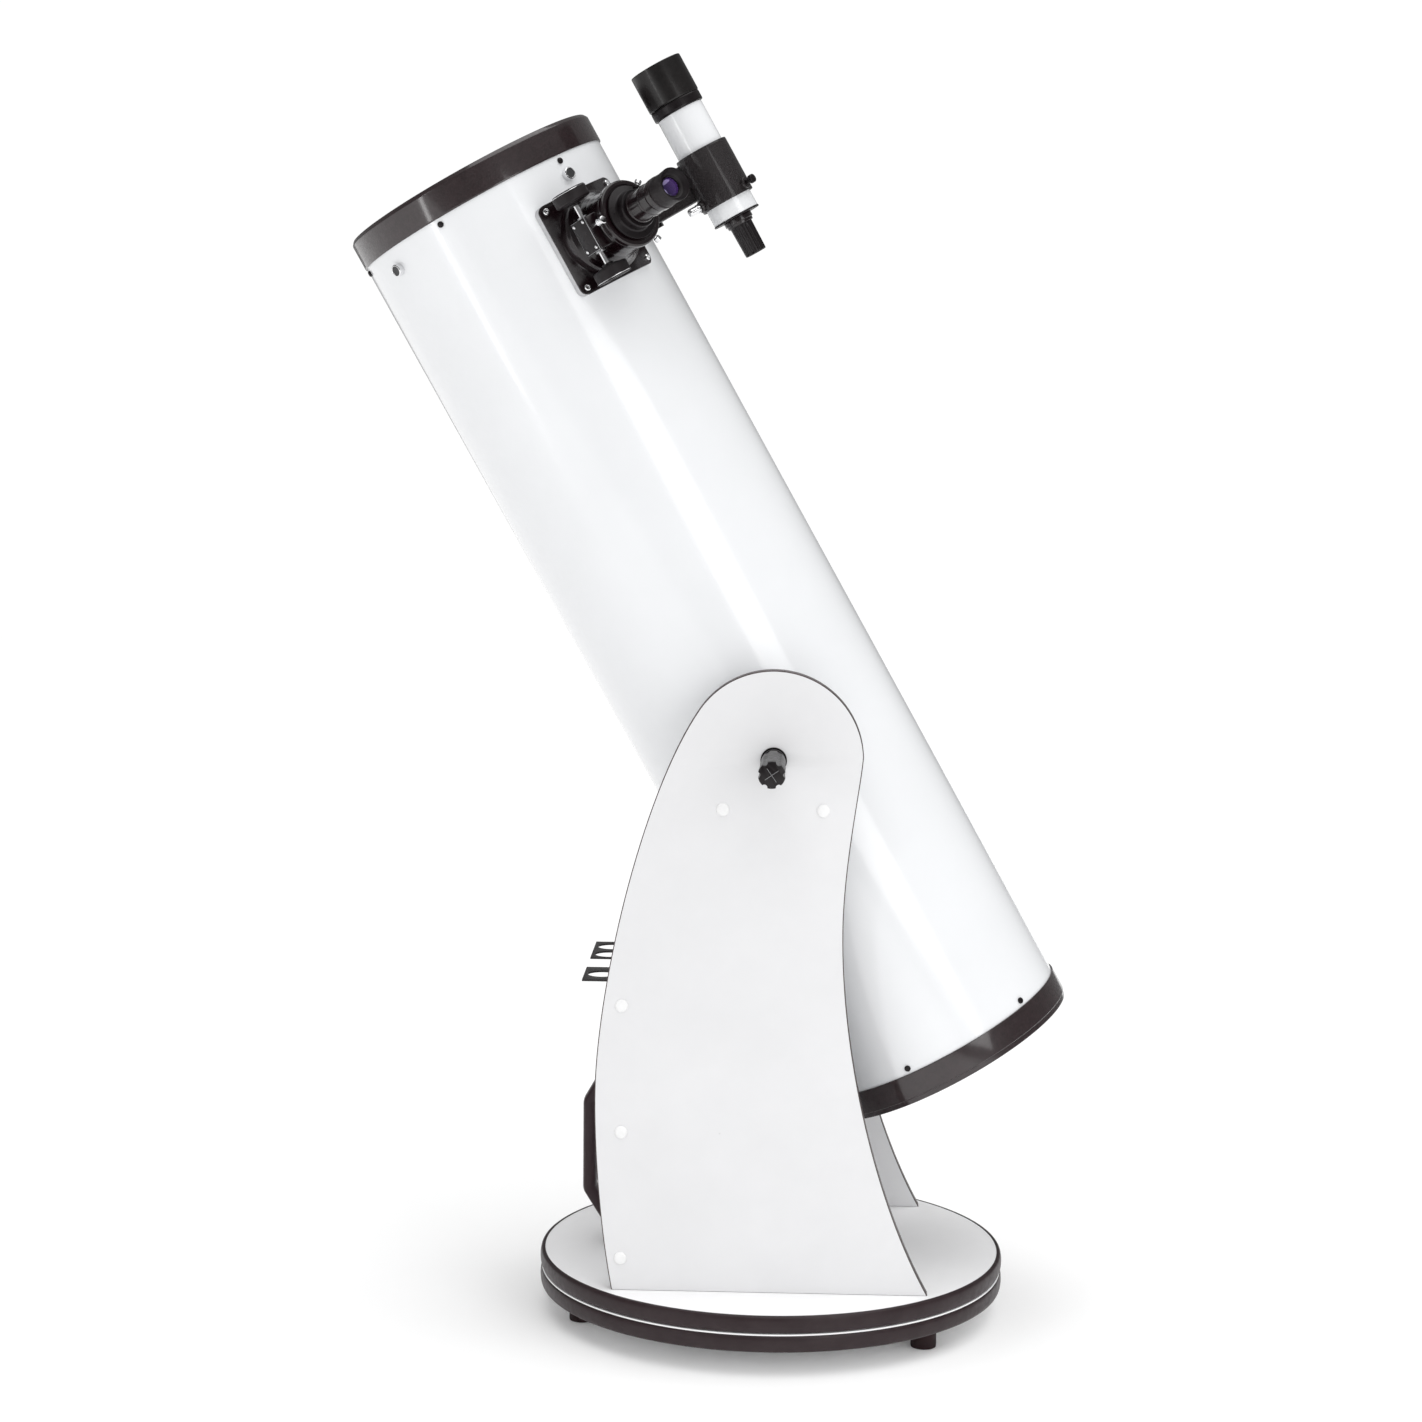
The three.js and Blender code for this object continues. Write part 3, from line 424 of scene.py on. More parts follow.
def box(name, x0, x1, y0, y1, z0, z1, edge=1.0, steps=3):
    bm = bmesh.new()
    bmesh.ops.create_cube(bm, size=1)
    size = Vector((x1 - x0, y1 - y0, z1 - z0))
    centre = Vector((x1 + x0, y1 + y0, z1 + z0)) / 2
    for v in bm.verts:
        v.co = Vector(a * b for a, b in zip(v.co, size)) + centre
    if edge:
        bmesh.ops.bevel(bm, geom=bm.edges[:], offset=edge, segments=steps, profile=0.5,
                        affect="EDGES")
    return to_mesh(name, bm)


def circle(radius, count=48, centre=(0, 0)):
    angles = [math.radians(360.0 * k / count) for k in range(count)]
    return [(centre[0] + radius * math.cos(a), centre[1] + radius * math.sin(a)) for a in angles]


def bezier(p0, p1, p2, p3, steps=24):
    """Points of a cubic curve, without its last one."""
    points = []
    for k in range(steps):
        t = k / steps
        weights = ((1 - t) ** 3, 3 * (1 - t) ** 2 * t, 3 * (1 - t) * t * t, t ** 3)
        points.append(tuple(sum(w * p[i] for w, p in zip(weights, (p0, p1, p2, p3)))
                            for i in (0, 1)))
    return points


def cut(mesh, *cutters):
    """Takes cutters away from a mesh; all are in the same local frame."""
    holder = bpy.data.objects.new("cut", mesh)
    SCENE.collection.objects.link(holder)
    extras = []
    for cutter in cutters:
        extra = bpy.data.objects.new("cutter", cutter)
        SCENE.collection.objects.link(extra)
        modifier = holder.modifiers.new("cut", "BOOLEAN")
        modifier.operation = "DIFFERENCE"
        modifier.solver = "EXACT"
        modifier.object = extra
        extras.append(extra)
    bpy.context.view_layer.update()
    graph = bpy.context.evaluated_depsgraph_get()
    result = bpy.data.meshes.new_from_object(holder.evaluated_get(graph))
    for extra in extras + [holder]:
        bpy.data.objects.remove(extra)
    return result


def moved(mesh, matrix):
    mesh.transform(matrix)
    return mesh


def two_tone(mesh, second):
    """Gives the faces picked by second(polygon) the piece's second material."""
    for polygon in mesh.polygons:
        if second(polygon):
            polygon.material_index = 1
    return mesh


def joined(name, *meshes):
    """One mesh out of several that touch or overlap."""
    bm = bmesh.new()
    for mesh in meshes:
        bm.from_mesh(mesh)
    return to_mesh(name, bm)


def knurl(count, depth, low, high):
    """Ripple for lathe(): grooves along Z between two heights."""
    def ripple(angle, r, z):
        if not low <= z <= high:
            return r
        return r - depth * (0.5 - 0.5 * math.cos(count * angle)) ** 2
    return ripple


def keep_cad(node, material, edge=0.0):
    """Shows a CAD node as it is, with a detailed material and softened edges."""
    obj = frame["nodes"][node]
    obj.data.materials.clear()
    obj.data.materials.append(material)
    weld = obj.modifiers.new("weld", "WELD")
    weld.merge_threshold = 1e-5
    if edge:
        bevel = obj.modifiers.new("bevel", "BEVEL")
        bevel.width = edge * MM
        bevel.segments = 2
        bevel.limit_method = "ANGLE"
        bevel.angle_limit = math.radians(40)
    return obj


# ------------------------------------------------------------------ base
FOOT_HEIGHT = 28.0
BOARD = 18.0
SPACING = 3.0
BOARD_RADIUS = 255.0
BASE_TOP = FOOT_HEIGHT + 2 * BOARD + SPACING
FOOT_CIRCLE = 221.0
FOOT_ANGLES = (-40, -160, 80)


def base_board(name, bottom, body, edging):
    top = bottom + BOARD
    disc = lathe(name, rounded([(6.3, bottom), (BOARD_RADIUS - 0.4, bottom),
                                (BOARD_RADIUS - 0.4, top), (6.3, top), (6.3, bottom)], 0.4), 256)
    piece(name + "_board", disc, BASE, body, "melamine", BASE_MELAMINE_PAINTED_LIGHTER, replaces=(name,))
    middle = (bottom + top) / 2
    outline = [(BOARD_RADIUS - 0.35, bottom - 0.1), (BOARD_RADIUS - 0.35, top + 0.35),
               (BOARD_RADIUS + 1.2, top + 0.35)]
    for k in range(13):
        angle = math.radians(80 - 160 * k / 12)
        outline.append((BOARD_RADIUS + 1.6 + 3.3 * math.cos(angle) ** 0.7,
                        middle + 9.0 * math.sin(angle)))
    outline += [(BOARD_RADIUS + 1.2, bottom - 0.1), (BOARD_RADIUS - 0.35, bottom - 0.1)]
    strip = lathe(name + "_edging", outline, 256)
    piece(edging + "_strip", strip, BASE, body, "edging", EDGING, replaces=(edging,))


def feet():
    profile = rounded([(0, 0), (FOOT_HEIGHT / 2 - 0.2, 0), (FOOT_HEIGHT / 2, 4),
                       (FOOT_HEIGHT / 2 - 0.2, FOOT_HEIGHT - 0.3), (0, FOOT_HEIGHT - 0.3)], 1.2)
    for i, angle in enumerate(FOOT_ANGLES, 1):
        x = FOOT_CIRCLE * math.cos(math.radians(angle))
        y = FOOT_CIRCLE * math.sin(math.radians(angle))
        piece(f"foot_{i}_rubber", lathe("foot", profile, 64), BASE @ Matrix.Translation((x, y, 0)),
              "ground", "rubber", RUBBER, replaces=(f"foot_{i}",))


def white_lip():
    """Rim of the ground board that shows between the two edging strips."""
    low, high = FOOT_HEIGHT + BOARD + 0.1, FOOT_HEIGHT + BOARD + 1.9
    rim = rounded([(BOARD_RADIUS - 5, low), (BOARD_RADIUS + 3.2, low), (BOARD_RADIUS + 3.2, high),
                   (BOARD_RADIUS - 5, high), (BOARD_RADIUS - 5, low)], 0.6)
    piece("ground_board_lip", lathe("lip", rim, 256), BASE, "ground", "melamine", BASE_MELAMINE_PAINTED_LIGHTER)


base_board("ground_board", FOOT_HEIGHT, "ground", "ground_edging")
white_lip()
base_board("rocker_board", FOOT_HEIGHT + BOARD + SPACING, "rocker", "rocker_edging")
feet()
keep_cad("azimuth_bearing_ring", NYLON)
keep_cad("azimuth_bolt", STEEL, 0.4)

# ------------------------------------------------------------------ rocker box
ALTITUDE_ABOVE_BOARD = 578.0
BUSHING_CIRCLE = 75              # bushings from the altitude axis, 45 degrees below it
CAP_HEIGHTS = (35, 174, 312)     # screw covers along the front board's edge
CAP_RADIUS = 7.0
RACK_HEIGHT = 324
RACK_HALF_LENGTH = 104
RACK_DEPTH = 40
RACK_HOLES = (-72, 35, 78)       # centres of the small holes, along Y
RACK_HOLE_RADIUS = 15.9
RACK_SLOT = (-11.5, 25.4)        # middle along Y and radius
FRONT_HALF_WIDTH = 160.7
PANEL_TOP_RADIUS = 94.5
TOP_ARC = (146, 3)
PANEL_OUTER = 177.0
PANEL = 16.0
FRONT_X = -166.8
FRONT_HEIGHT = 347.0


def panel_outline(inset):
    """Side panel outline in X and height above the board, moved in by `inset`."""
    arc_steps = 56
    arc = []
    for k in range(arc_steps + 1):
        angle = math.radians(TOP_ARC[0] + (TOP_ARC[1] - TOP_ARC[0]) * k / arc_steps)
        arc.append((PANEL_TOP_RADIUS * math.cos(angle),
                    ALTITUDE_ABOVE_BOARD + PANEL_TOP_RADIUS * math.sin(angle)))
    right = arc.pop()
    points = (bezier((-168, 0.3), (-180, 62), (-187, 145), (-187, 210))
              + bezier((-187, 210), (-187, 324), (-140, 539), arc[0], 32) + arc
              + bezier(right, (93, 555), (75.4, 470), (75.4, 396))
              + bezier((75.4, 396), (75.4, 260), (116, 99), (171, 0.3), 32) + [(171, 0.3)])
    if not inset:
        return points
    out = []
    for i, point in enumerate(points):
        before = Vector(points[i - 1])
        after = Vector(points[(i + 1) % len(points)])
        along = (after - before).normalized()
        inward = Vector((along.y, -along.x))
        p = Vector(point) + inward * inset
        if i in (0, len(points) - 1):
            p = Vector((point[0] + (inset if i == 0 else -inset), point[1]))
        out.append((p.x, p.y))
    return out


def side_panel(side, label):
    """Panel, its dark edge band and its screw covers. side is -1 for the near panel."""
    # Local frame: Y up and Z outwards. X runs backwards on the far side, so drawn() mirrors it.
    x_axis = Vector((-side, 0, 0))
    matrix = placed(Vector((AZIMUTH.x, 0, BASE_TOP * MM)), x_axis, Vector((0, 0, 1)),
                    Vector((0, side, 0)))
    flip = -side

    def drawn(points):
        mirrored = [(flip * x, y) for x, y in points]
        return mirrored if flip > 0 else mirrored[::-1]

    inner, outer = PANEL_OUTER - PANEL, PANEL_OUTER
    hole = circle(6.5, 40, (0, ALTITUDE_ABOVE_BOARD))
    board = plate("panel", [drawn(panel_outline(0.55)), drawn(hole)], inner, outer, 0.25)
    piece(f"side_panel_{label}_board", board, matrix, "rocker", "melamine", MELAMINE,
          replaces=(f"side_panel_{label}",))
    band = plate("band", [drawn(panel_outline(-0.35)), drawn(panel_outline(0.6))],
                 inner + 0.15, outer - 0.05, 0.15)
    piece(f"side_panel_{label}_band", band, matrix, "rocker", "edging", BOARD_BAND)
    cap = rounded([(CAP_RADIUS, outer), (CAP_RADIUS, outer + 0.8), (5.6, outer + 2.2),
                   (2.5, outer + 2.9), (0, outer + 3.0)], 0.9)
    reach = BUSHING_CIRCLE * math.sqrt(0.5)
    places = [(FRONT_X + PANEL / 2, height) for height in CAP_HEIGHTS]
    places += [(x, ALTITUDE_ABOVE_BOARD - reach) for x in (-reach, reach)]
    for i, (x, y) in enumerate(places, 1):
        cover = lathe("cover", [(0, outer + 0.1), (CAP_RADIUS, outer + 0.1)] + cap[1:], 40)
        piece(f"screw_cover_{label}_{i}", cover,
              matrix @ Matrix.Translation((flip * x, y, 0)), "rocker", "nylon", CAP_PLASTIC)


def front_handle():
    """Grab handle: a thick vertical grip with sloping legs and screwed feet."""
    face = FRONT_X - 0.3
    grip_x, half_depth, half_width = -205.0, 7.6, 14.5
    corners = [(face - 3, 17), (face - 13, 24, 5), (grip_x, 64, 7), (grip_x, 163, 7),
               (face - 13, 206, 5), (face - 3, 213)]
    smooth = [Vector(p) for p in rounded(corners, 5, 8)]
    sections = []
    for i, p in enumerate(smooth):
        tangent = (smooth[min(i + 1, len(smooth) - 1)] - smooth[max(i - 1, 0)]).normalized()
        normal = Vector((-tangent.y, tangent.x))
        loop = []
        for k in range(24):
            angle = 2 * math.pi * k / 24
            c, s = math.cos(angle), math.sin(angle)
            across = half_width * math.copysign(abs(c) ** 0.6, c)
            deep = half_depth * math.copysign(abs(s) ** 0.6, s)
            q = p + normal * deep
            loop.append((q.x, across, q.y))
        sections.append(loop)
    grip = loft("grip", sections)
    matrix = BASE @ Matrix.Translation((0, 0, BASE_TOP))
    piece("front_handle_grip", grip, matrix, "rocker", "black_plastic", HANDLE_PLASTIC,
          replaces=("front_handle",))
    for i, (low, high) in enumerate(((7, 28), (199, 220)), 1):
        foot = box("foot", face - 6.5, face, -14.8, 14.8, low, high, 2.0)
        piece(f"front_handle_foot_{i}", foot, matrix, "rocker", "black_plastic", HANDLE_PLASTIC)


def eyepiece_rack():
    """Folded plate with three holes and an open slot."""
    face = FRONT_X - 0.3
    top = BASE_TOP + RACK_HEIGHT
    slot_y, slot_radius = RACK_SLOT
    half, free_edge = RACK_HALF_LENGTH, face - RACK_DEPTH
    outline = [(free_edge, -half), (face - 0.2, -half), (face - 0.2, half), (free_edge, half),
               (free_edge, slot_y + slot_radius)]
    centre = face - 9
    for k in range(31):
        angle = math.radians(90 - 6 * k)
        x = min(centre + slot_radius * math.cos(angle), face - 6)
        outline.append((x, slot_y + slot_radius * math.sin(angle)))
    outline.append((free_edge, slot_y - slot_radius))
    rims = [circle(RACK_HOLE_RADIUS, 48, (face - 20.1, y))[::-1] for y in RACK_HOLES]
    shelf = plate("shelf", [outline] + rims, top - 2, top, 0.3)
    flange = box("flange", face - 2, face, -half, half, top - 18, top - 1.5, 0.3, 2)
    rack = joined("rack", shelf, flange)
    piece("eyepiece_rack_plate", rack, BASE, "rocker", "textured_paint", BRACKET_PAINT,
          replaces=("eyepiece_rack",))


side_panel(-1, "near")
side_panel(1, "far")
piece("front_board_panel", box("front", FRONT_X, FRONT_X + PANEL, -FRONT_HALF_WIDTH,
                               FRONT_HALF_WIDTH, 0.3, FRONT_HEIGHT, 0.3, 2),
      BASE @ Matrix.Translation((0, 0, BASE_TOP)), "rocker", "melamine", MELAMINE,
      replaces=("front_board",))
piece("front_board_band", box("front_band", FRONT_X + 0.1, FRONT_X + PANEL - 0.1, -160.6, 160.6,
                              FRONT_HEIGHT - 0.6, FRONT_HEIGHT + 0.3, 0.1, 1),
      BASE @ Matrix.Translation((0, 0, BASE_TOP)), "rocker", "edging", BOARD_BAND)
front_handle()
eyepiece_rack()
for number in range(1, 5):
    keep_cad(f"altitude_bushing_{number}", NYLON, 0.5)

# ------------------------------------------------------------------ optical tube
TUBE_RADIUS = 144.0
TUBE_BORE = 143
TUBE_REAR, TUBE_FRONT = -398.5, 691.5
RING_RADIUS = 145.8
FRONT_RING = (664.6, 697.4)
REAR_RING = (-404.5, -372.5)
RING_SCREW_STATIONS = (658.0, -366.5)
SPIDER_STATION = 641.5
VANE_ANGLES = (45, 135, 225, 315)
FOCUSER_ANGLE = 43               # from the near side towards the top of the tube
FOCUSER_HOLE = 35


def direction(angle):
    """Angle round the tube, from the near side towards the top, as an angle from X."""
    return angle - 90


def optical_tube():
    shell = lathe("tube", [(TUBE_BORE, TUBE_REAR), (TUBE_RADIUS, TUBE_REAR),
                           (TUBE_RADIUS, TUBE_FRONT), (TUBE_BORE, TUBE_FRONT),
                           (TUBE_BORE, TUBE_REAR)], 256)
    hole = moved(lathe("hole", [(0, 110), (FOCUSER_HOLE, 110), (FOCUSER_HOLE, 160), (0, 160)], 64),
                 turned_frame(Matrix.Identity(4), direction(FOCUSER_ANGLE), FOCUSER_STATION))
    shell = cut(shell, hole)
    shell.materials.clear()
    shell.materials.append(WHITE_PAINT)
    shell.materials.append(TUBE_INSIDE)
    for polygon in shell.polygons:
        middle = polygon.center
        outward = Vector((middle.x, middle.y, 0)).normalized()
        polygon.material_index = 0 if polygon.normal.dot(outward) > 0.5 else 1
    piece("optical_tube_shell", shell, TUBE, "tube", "tube_paint", replaces=("optical_tube",))


def ring_screws():
    head = rounded([(0, 144.0), (3.4, 144.0), (3.4, 145.4), (2.4, 146.6), (0, 147.0)], 0.8)
    for station in RING_SCREW_STATIONS:
        for k in range(6):
            angle = direction(45 + 60 * k)
            name = f"ring_screw_{'front' if station > 0 else 'rear'}_{k + 1}"
            piece(name, lathe("screw", head, 24), turned_frame(TUBE, angle, station), "tube",
                  "black_metal", ANODISED)


def end_rings():
    lip, bore, r = 138.0, 144.25, RING_RADIUS
    low, high = FRONT_RING
    front = rounded([(bore, low), (r - 0.3, low, 0.4), (r, low + 1.5, 0.5),
                     (r, high - 4, 2.5), (r - 3, high, 1.5),
                     (lip, high, 1.0), (lip, TUBE_FRONT + 0.3, 0.3), (bore, TUBE_FRONT + 0.3),
                     (bore, low)], 0.3, 6)
    piece("front_ring_casting", lathe("front_ring", front, 256), TUBE, "tube", "textured_paint",
          RING_PAINT, replaces=("front_ring",))
    low, high = REAR_RING
    rear = rounded([(lip, low, 1.0), (r - 1.7, low, 1.2), (r - 1.5, low + 5.6, 0.3),
                    (r, low + 6.6, 0.8), (r, high, 0.8), (bore, high, 0.3),
                    (bore, TUBE_REAR - 0.3, 0.2), (lip, TUBE_REAR - 0.3, 0.3), (lip, low)], 0.3, 6)
    piece("rear_ring_casting", lathe("rear_ring", rear, 256), TUBE, "tube", "textured_paint",
          RING_PAINT, replaces=("rear_ring",))


def spider():
    """Vanes, hub, bolts and bright nuts."""
    station = SPIDER_STATION
    hub = lathe("hub", rounded([(0, station - 12), (14, station - 12), (14, station + 14),
                                (0, station + 14)], 1.0), 64)
    piece("spider_hub", hub, TUBE, "tube", "black_metal", ANODISED, replaces=("spider",))
    for i, angle in enumerate(VANE_ANGLES, 1):
        frame_here = turned_frame(TUBE, angle, station)
        vane = box("vane", -12, 12, -0.5, 0.5, 12, 141, 0.2, 1)
        tab = box("tab", -6, 6, -3.4, 3.4, 136, 142, 0.8, 2)
        piece(f"spider_vane_{i}", joined("vane", vane, tab), frame_here, "tube", "black_metal",
              ANODISED)
        nut = lathe("nut", rounded([(0, 144.1), (6.7, 144.1), (6.7, 149.6), (5.9, 150.4),
                                    (5.3, 150.4), (5.1, 149.8), (0, 149.8)], 0.35), 60,
                    knurl(30, 0.35, 144.8, 149.2))
        two_tone(nut, lambda face: math.hypot(face.center.x, face.center.y) < 5.2)
        piece(f"spider_nut_{i}", nut, frame_here, "tube", "chrome", CHROME, DARK_STEEL)
    for i in range(3):
        angle = math.radians(120 * i + 60)
        screw = lathe("screw", rounded([(0, station + 13), (3, station + 13), (3, station + 17),
                                        (0, station + 17)], 0.5), 24)
        matrix = TUBE @ Matrix.Translation((8 * math.cos(angle), 8 * math.sin(angle), 0))
        piece(f"diagonal_screw_{i + 1}", screw, matrix, "tube", "black_metal", STEEL)


def tension_handle(side, label):
    """Fluted grip on a round flange, with a cross moulded in its end."""
    matrix = placed(ALTITUDE, Vector((-side, 0, 0)), Vector((0, 0, 1)), Vector((0, side, 0)))
    start = PANEL_OUTER + 0.3

    def outline(radius, depth, z, count=144):
        loop = []
        for k in range(count):
            angle = 2 * math.pi * k / count
            near = abs((math.degrees(angle) + 30) % 60 - 30)
            dip = math.sqrt(max(0.0, 1 - (near / 11.5) ** 2))
            r = radius - depth * dip
            loop.append((r * math.cos(angle), r * math.sin(angle), z))
        return loop

    steps = [(12.0, 0, 0), (12.3, 0, 1.0), (12.3, 0, 9), (11.6, 0.2, 10), (12.2, 1.0, 13),
             (13.2, 1.6, 20), (13.6, 2.0, 40), (13.5, 2.0, 70), (13.9, 2.2, 92),
             (14.2, 2.4, 100), (14.2, 2.4, 106.6), (13.8, 2.3, 108), (12.8, 2.1, 108.6)]
    grip = loft("grip", [outline(r, d, start + z) for r, d, z in steps])
    piece(f"tension_grip_{label}", grip, matrix, f"tension_{label}", "black_plastic",
          BLACK_PLASTIC, replaces=(f"tension_handle_{label}",), sharp=40)
    flange = lathe("flange", rounded([(0, start), (14, start), (14, start + 2.8), (12, start + 3),
                                      (0, start + 3)], 0.6), 64)
    stud = lathe("stud", rounded([(0, 148.2), (4.9, 148.2), (4.9, start + 1), (0, start + 1)], 0.5),
                 32)
    piece(f"tension_flange_{label}", flange, matrix, f"tension_{label}", "black_plastic", ANODISED)
    piece(f"tension_stud_{label}", stud, matrix, f"tension_{label}", "chrome", STEEL)
    for i, angle in enumerate((35, 125), 1):
        rib = box("rib", -8.5, 8.5, -0.28, 0.28, start + 108.4, start + 108.95, 0.12, 1)
        piece(f"tension_mark_{label}_{i}", rib,
              matrix @ Matrix.Rotation(math.radians(angle), 4, "Z"), f"tension_{label}",
              "chrome", STEEL)


optical_tube()
ring_screws()
end_rings()
spider()
tension_handle(-1, "near")
tension_handle(1, "far")
for node in ("altitude_bearing_near", "altitude_bearing_far"):
    keep_cad(node, BLACK_PLASTIC, 0.6)
keep_cad("mirror_cell", CAST, 0.8)
keep_cad("mirror_carrier", CAST, 0.6)
for number in range(1, 4):
    keep_cad(f"collimation_knob_{number}", BLACK_PLASTIC, 0.6)
keep_cad("secondary_holder", BLACK_PLASTIC, 0.4)


def mirrors():
    front, thick, radius, focal = -350.0, 25.0, 127.0, 1180.0
    bowl = [(radius * k / 24, front - (radius ** 2 - (radius * k / 24) ** 2) / (4 * focal))
            for k in range(25)]
    profile = bowl + [(radius, front - 0.6), (radius, front - thick + 1),
                      (radius - 1, front - thick), (0, front - thick)]
    piece("primary_mirror_glass", lathe("primary", profile, 192), TUBE, "tube", "mirror_coating",
          MIRROR, replaces=("primary_mirror",))
    keep_cad("secondary_mirror", MIRROR, 0.3)


mirrors()

# ------------------------------------------------------------------ focuser
PLATE_OUTER = 152.0
PLATE_INNER = 144.3
PLATE_SKIN = 150.6               # where the plate's dark skin starts
HOUSING = (171, 195.5)           # pinion housing, from its floor to its top
HOUSING_HALF_WIDTH = 18.5
GEAR_TEETH = 12
GEAR_PITCH_RADIUS = 5
COLLAR_SCREW_ANGLES = (38, -62)
COLLAR_SCREW_Z = 205.5
LOCK_SCREW = (-41, 5.8)
ADAPTER_SCREW_ANGLE = 55
ADAPTER_SCREW_Z = 219.5


def conform(mesh, radius, below):
    """Lowers or lifts the vertices under `below` on to a cylinder about the tube's axis."""
    for v in mesh.vertices:
        if v.co.z < below:
            v.co.z = math.sqrt(max(radius ** 2 - v.co.x ** 2, 0))
    return mesh


def saddle(name, inner, outer, half_width, half_length, corner, edge):
    """Rectangular plate with rounded corners, curved to the tube, with upright sides."""
    sections = []
    steps = 40
    for k in range(steps + 1):
        x = -math.cos(math.pi * k / steps) * half_width
        over = max(0.0, abs(x) - (half_width - corner))
        half = half_length - (corner - math.sqrt(max(corner ** 2 - over ** 2, 0.0)))
        low = math.sqrt(inner ** 2 - x ** 2)
        high = math.sqrt(outer ** 2 - x ** 2)
        loop = [(-half, low), (-half, high - edge), (-half + edge, high), (half - edge, high),
                (half, high - edge), (half, low)]
        sections.append([(x, y, z) for y, z in loop])
    return loft(name, sections)


def focuser_fixed():
    base = saddle("base", PLATE_INNER, PLATE_SKIN, 53.1, 51.7, 8, 0.3)
    piece("focuser_plate_casting", base, FOCUSER, "tube", "black_metal", CAST,
          replaces=("focuser_plate",))
    skin = saddle("skin", PLATE_SKIN, PLATE_OUTER, 53.2, 51.8, 8, 0.5)
    piece("focuser_plate_top", skin, FOCUSER, "tube", "black_metal", BODY_METAL)
    for i, (x, y) in enumerate(((-1, -1), (-1, 1), (1, -1), (1, 1)), 1):
        angle = math.degrees(46.5 / PLATE_OUTER) * x
        tilt = FOCUSER @ Matrix.Translation((0, y * 44.5, 0)) @ Matrix.Rotation(
            math.radians(angle), 4, "Y")
        head = lathe("head", rounded([(0, 151.5), (3.6, 151.5), (3.6, 153.6), (2.8, 154.6),
                                      (1.5, 154.7), (1.4, 153.6), (0, 153.6)], 0.5), 32)
        piece(f"focuser_plate_screw_{i}", head, tilt, "tube", "chrome", CHROME)

    bell = rounded([(29.3, 140), (46, 140), (46, 155.4, 1.6), (44.8, 159.6, 2.0), (41.2, 163.2, 3),
                    (38.0, 169.5, 6), (35.8, 178, 8), (34.7, 188, 8), (34.5, 197.5, 2),
                    (33.4, 200, 1.0), (29.3, 200), (29.3, 140)], 0.4, 5)
    body = conform(lathe("bell", bell, 128), PLATE_OUTER, 150)
    piece("focuser_bell", body, FOCUSER, "tube", "black_metal", BODY_METAL,
          replaces=("focuser_body",))
    housing = box("housing", -45, -25, -HOUSING_HALF_WIDTH, HOUSING_HALF_WIDTH, *HOUSING, 0.9)
    piece("pinion_housing", housing, FOCUSER, "tube", "black_metal", BODY_METAL)
    cover = box("cover", -47.2, -45.1, -HOUSING_HALF_WIDTH, HOUSING_HALF_WIDTH, *HOUSING, 0.45, 2)
    two_tone(cover, lambda face: max(abs(c) for c in face.normal) < 0.99)
    piece("pinion_cover_plate", cover, FOCUSER, "tube", "black_metal", ANODISED, STEEL,
          replaces=("pinion_cover",))
    out = Matrix.Rotation(math.radians(-90), 4, "Y")
    number = 0
    for y in (-14.5, 14.5):
        for z in (175, 191.5):
            number += 1
            screw = lathe("screw", rounded([(0, 0), (1.9, 0), (1.9, 0.9), (1.2, 1.5), (0.7, 1.5),
                                            (0.6, 0.9), (0, 0.9)], 0.2), 24)
            piece(f"pinion_cover_screw_{number}", screw,
                  FOCUSER @ Matrix.Translation((-47.1, y, z)) @ out, "tube", "chrome", CHROME)


def pinion():
    centre = FOCUSER @ Matrix.Translation((PINION[0], 0, PINION[1]))
    keep_cad("pinion_shaft", CHROME)
    for side, label in ((1, "upper"), (-1, "lower")):
        matrix = centre @ Matrix.Rotation(math.radians(-90 * side), 4, "X")
        rim = rounded([(3.1, 36.4), (12, 36.4, 1.0), (12.5, 37.6, 1), (18.0, 37.6, 0.8),
                       (19.4, 39.2, 0.8), (19.4, 49.6, 0.8), (18.2, 51.0, 0.8), (9, 51.2, 1),
                       (8, 50.2, 0.5), (0, 50.2)], 0.4)
        wheel = lathe("wheel", [(0, 36.4)] + rim, 240, knurl(60, 0.28, 39.6, 49.2))
        piece(f"focus_knob_{label}_wheel", wheel, matrix, "pinion", "black_plastic", KNOB_RUBBER,
              replaces=(f"focus_knob_{label}",))
        collar = rounded([(3.05, 33.6), (6.5, 33.6), (6.5, 36.6), (3.05, 36.6), (3.05, 33.6)], 0.5)
        piece(f"focus_knob_{label}_collar", lathe("collar", collar, 48), matrix, "pinion",
              "black_plastic", BLACK_PLASTIC)
        band = rounded([(17.9, 51.0), (18.3, 50.7), (19.35, 49.7), (19.55, 49.5), (19.3, 49.0),
                        (17.9, 50.6), (17.9, 51.0)], 0)
        piece(f"focus_knob_{label}_bright_edge", lathe("band", band, 128), matrix, "pinion",
              "chrome", CHROME)
    for side, label in ((1, "upper"), (-1, "lower")):
        bush = rounded([(3.1, 18.4), (5.6, 18.4), (5.6, 20.6), (3.1, 20.6), (3.1, 18.4)], 0.4)
        piece(f"pinion_bush_{label}", lathe("bush", bush, 40),
              centre @ Matrix.Rotation(math.radians(-90 * side), 4, "X"), "tube", "chrome", STEEL)


def thumbscrew(name, replaced, body, matrix, tip, neck, head, head_length, shank,
               material=None):
    """Knurled thumbscrew along Z: thin shank, waist, and a knurled head."""
    profile = rounded([(0, tip), (shank, tip), (shank, neck), (head * 0.62, neck),
                       (head * 0.62, neck + 1.2), (head, neck + 1.8),
                       (head, neck + head_length - 0.6), (head * 0.8, neck + head_length),
                       (0, neck + head_length)], 0.3)
    mesh = lathe("thumbscrew", profile, 96,
                 knurl(16, 0.45, neck + 2.0, neck + head_length - 0.9))
    piece(name, mesh, matrix, body, "chrome", material or CHROME, replaces=(replaced,))


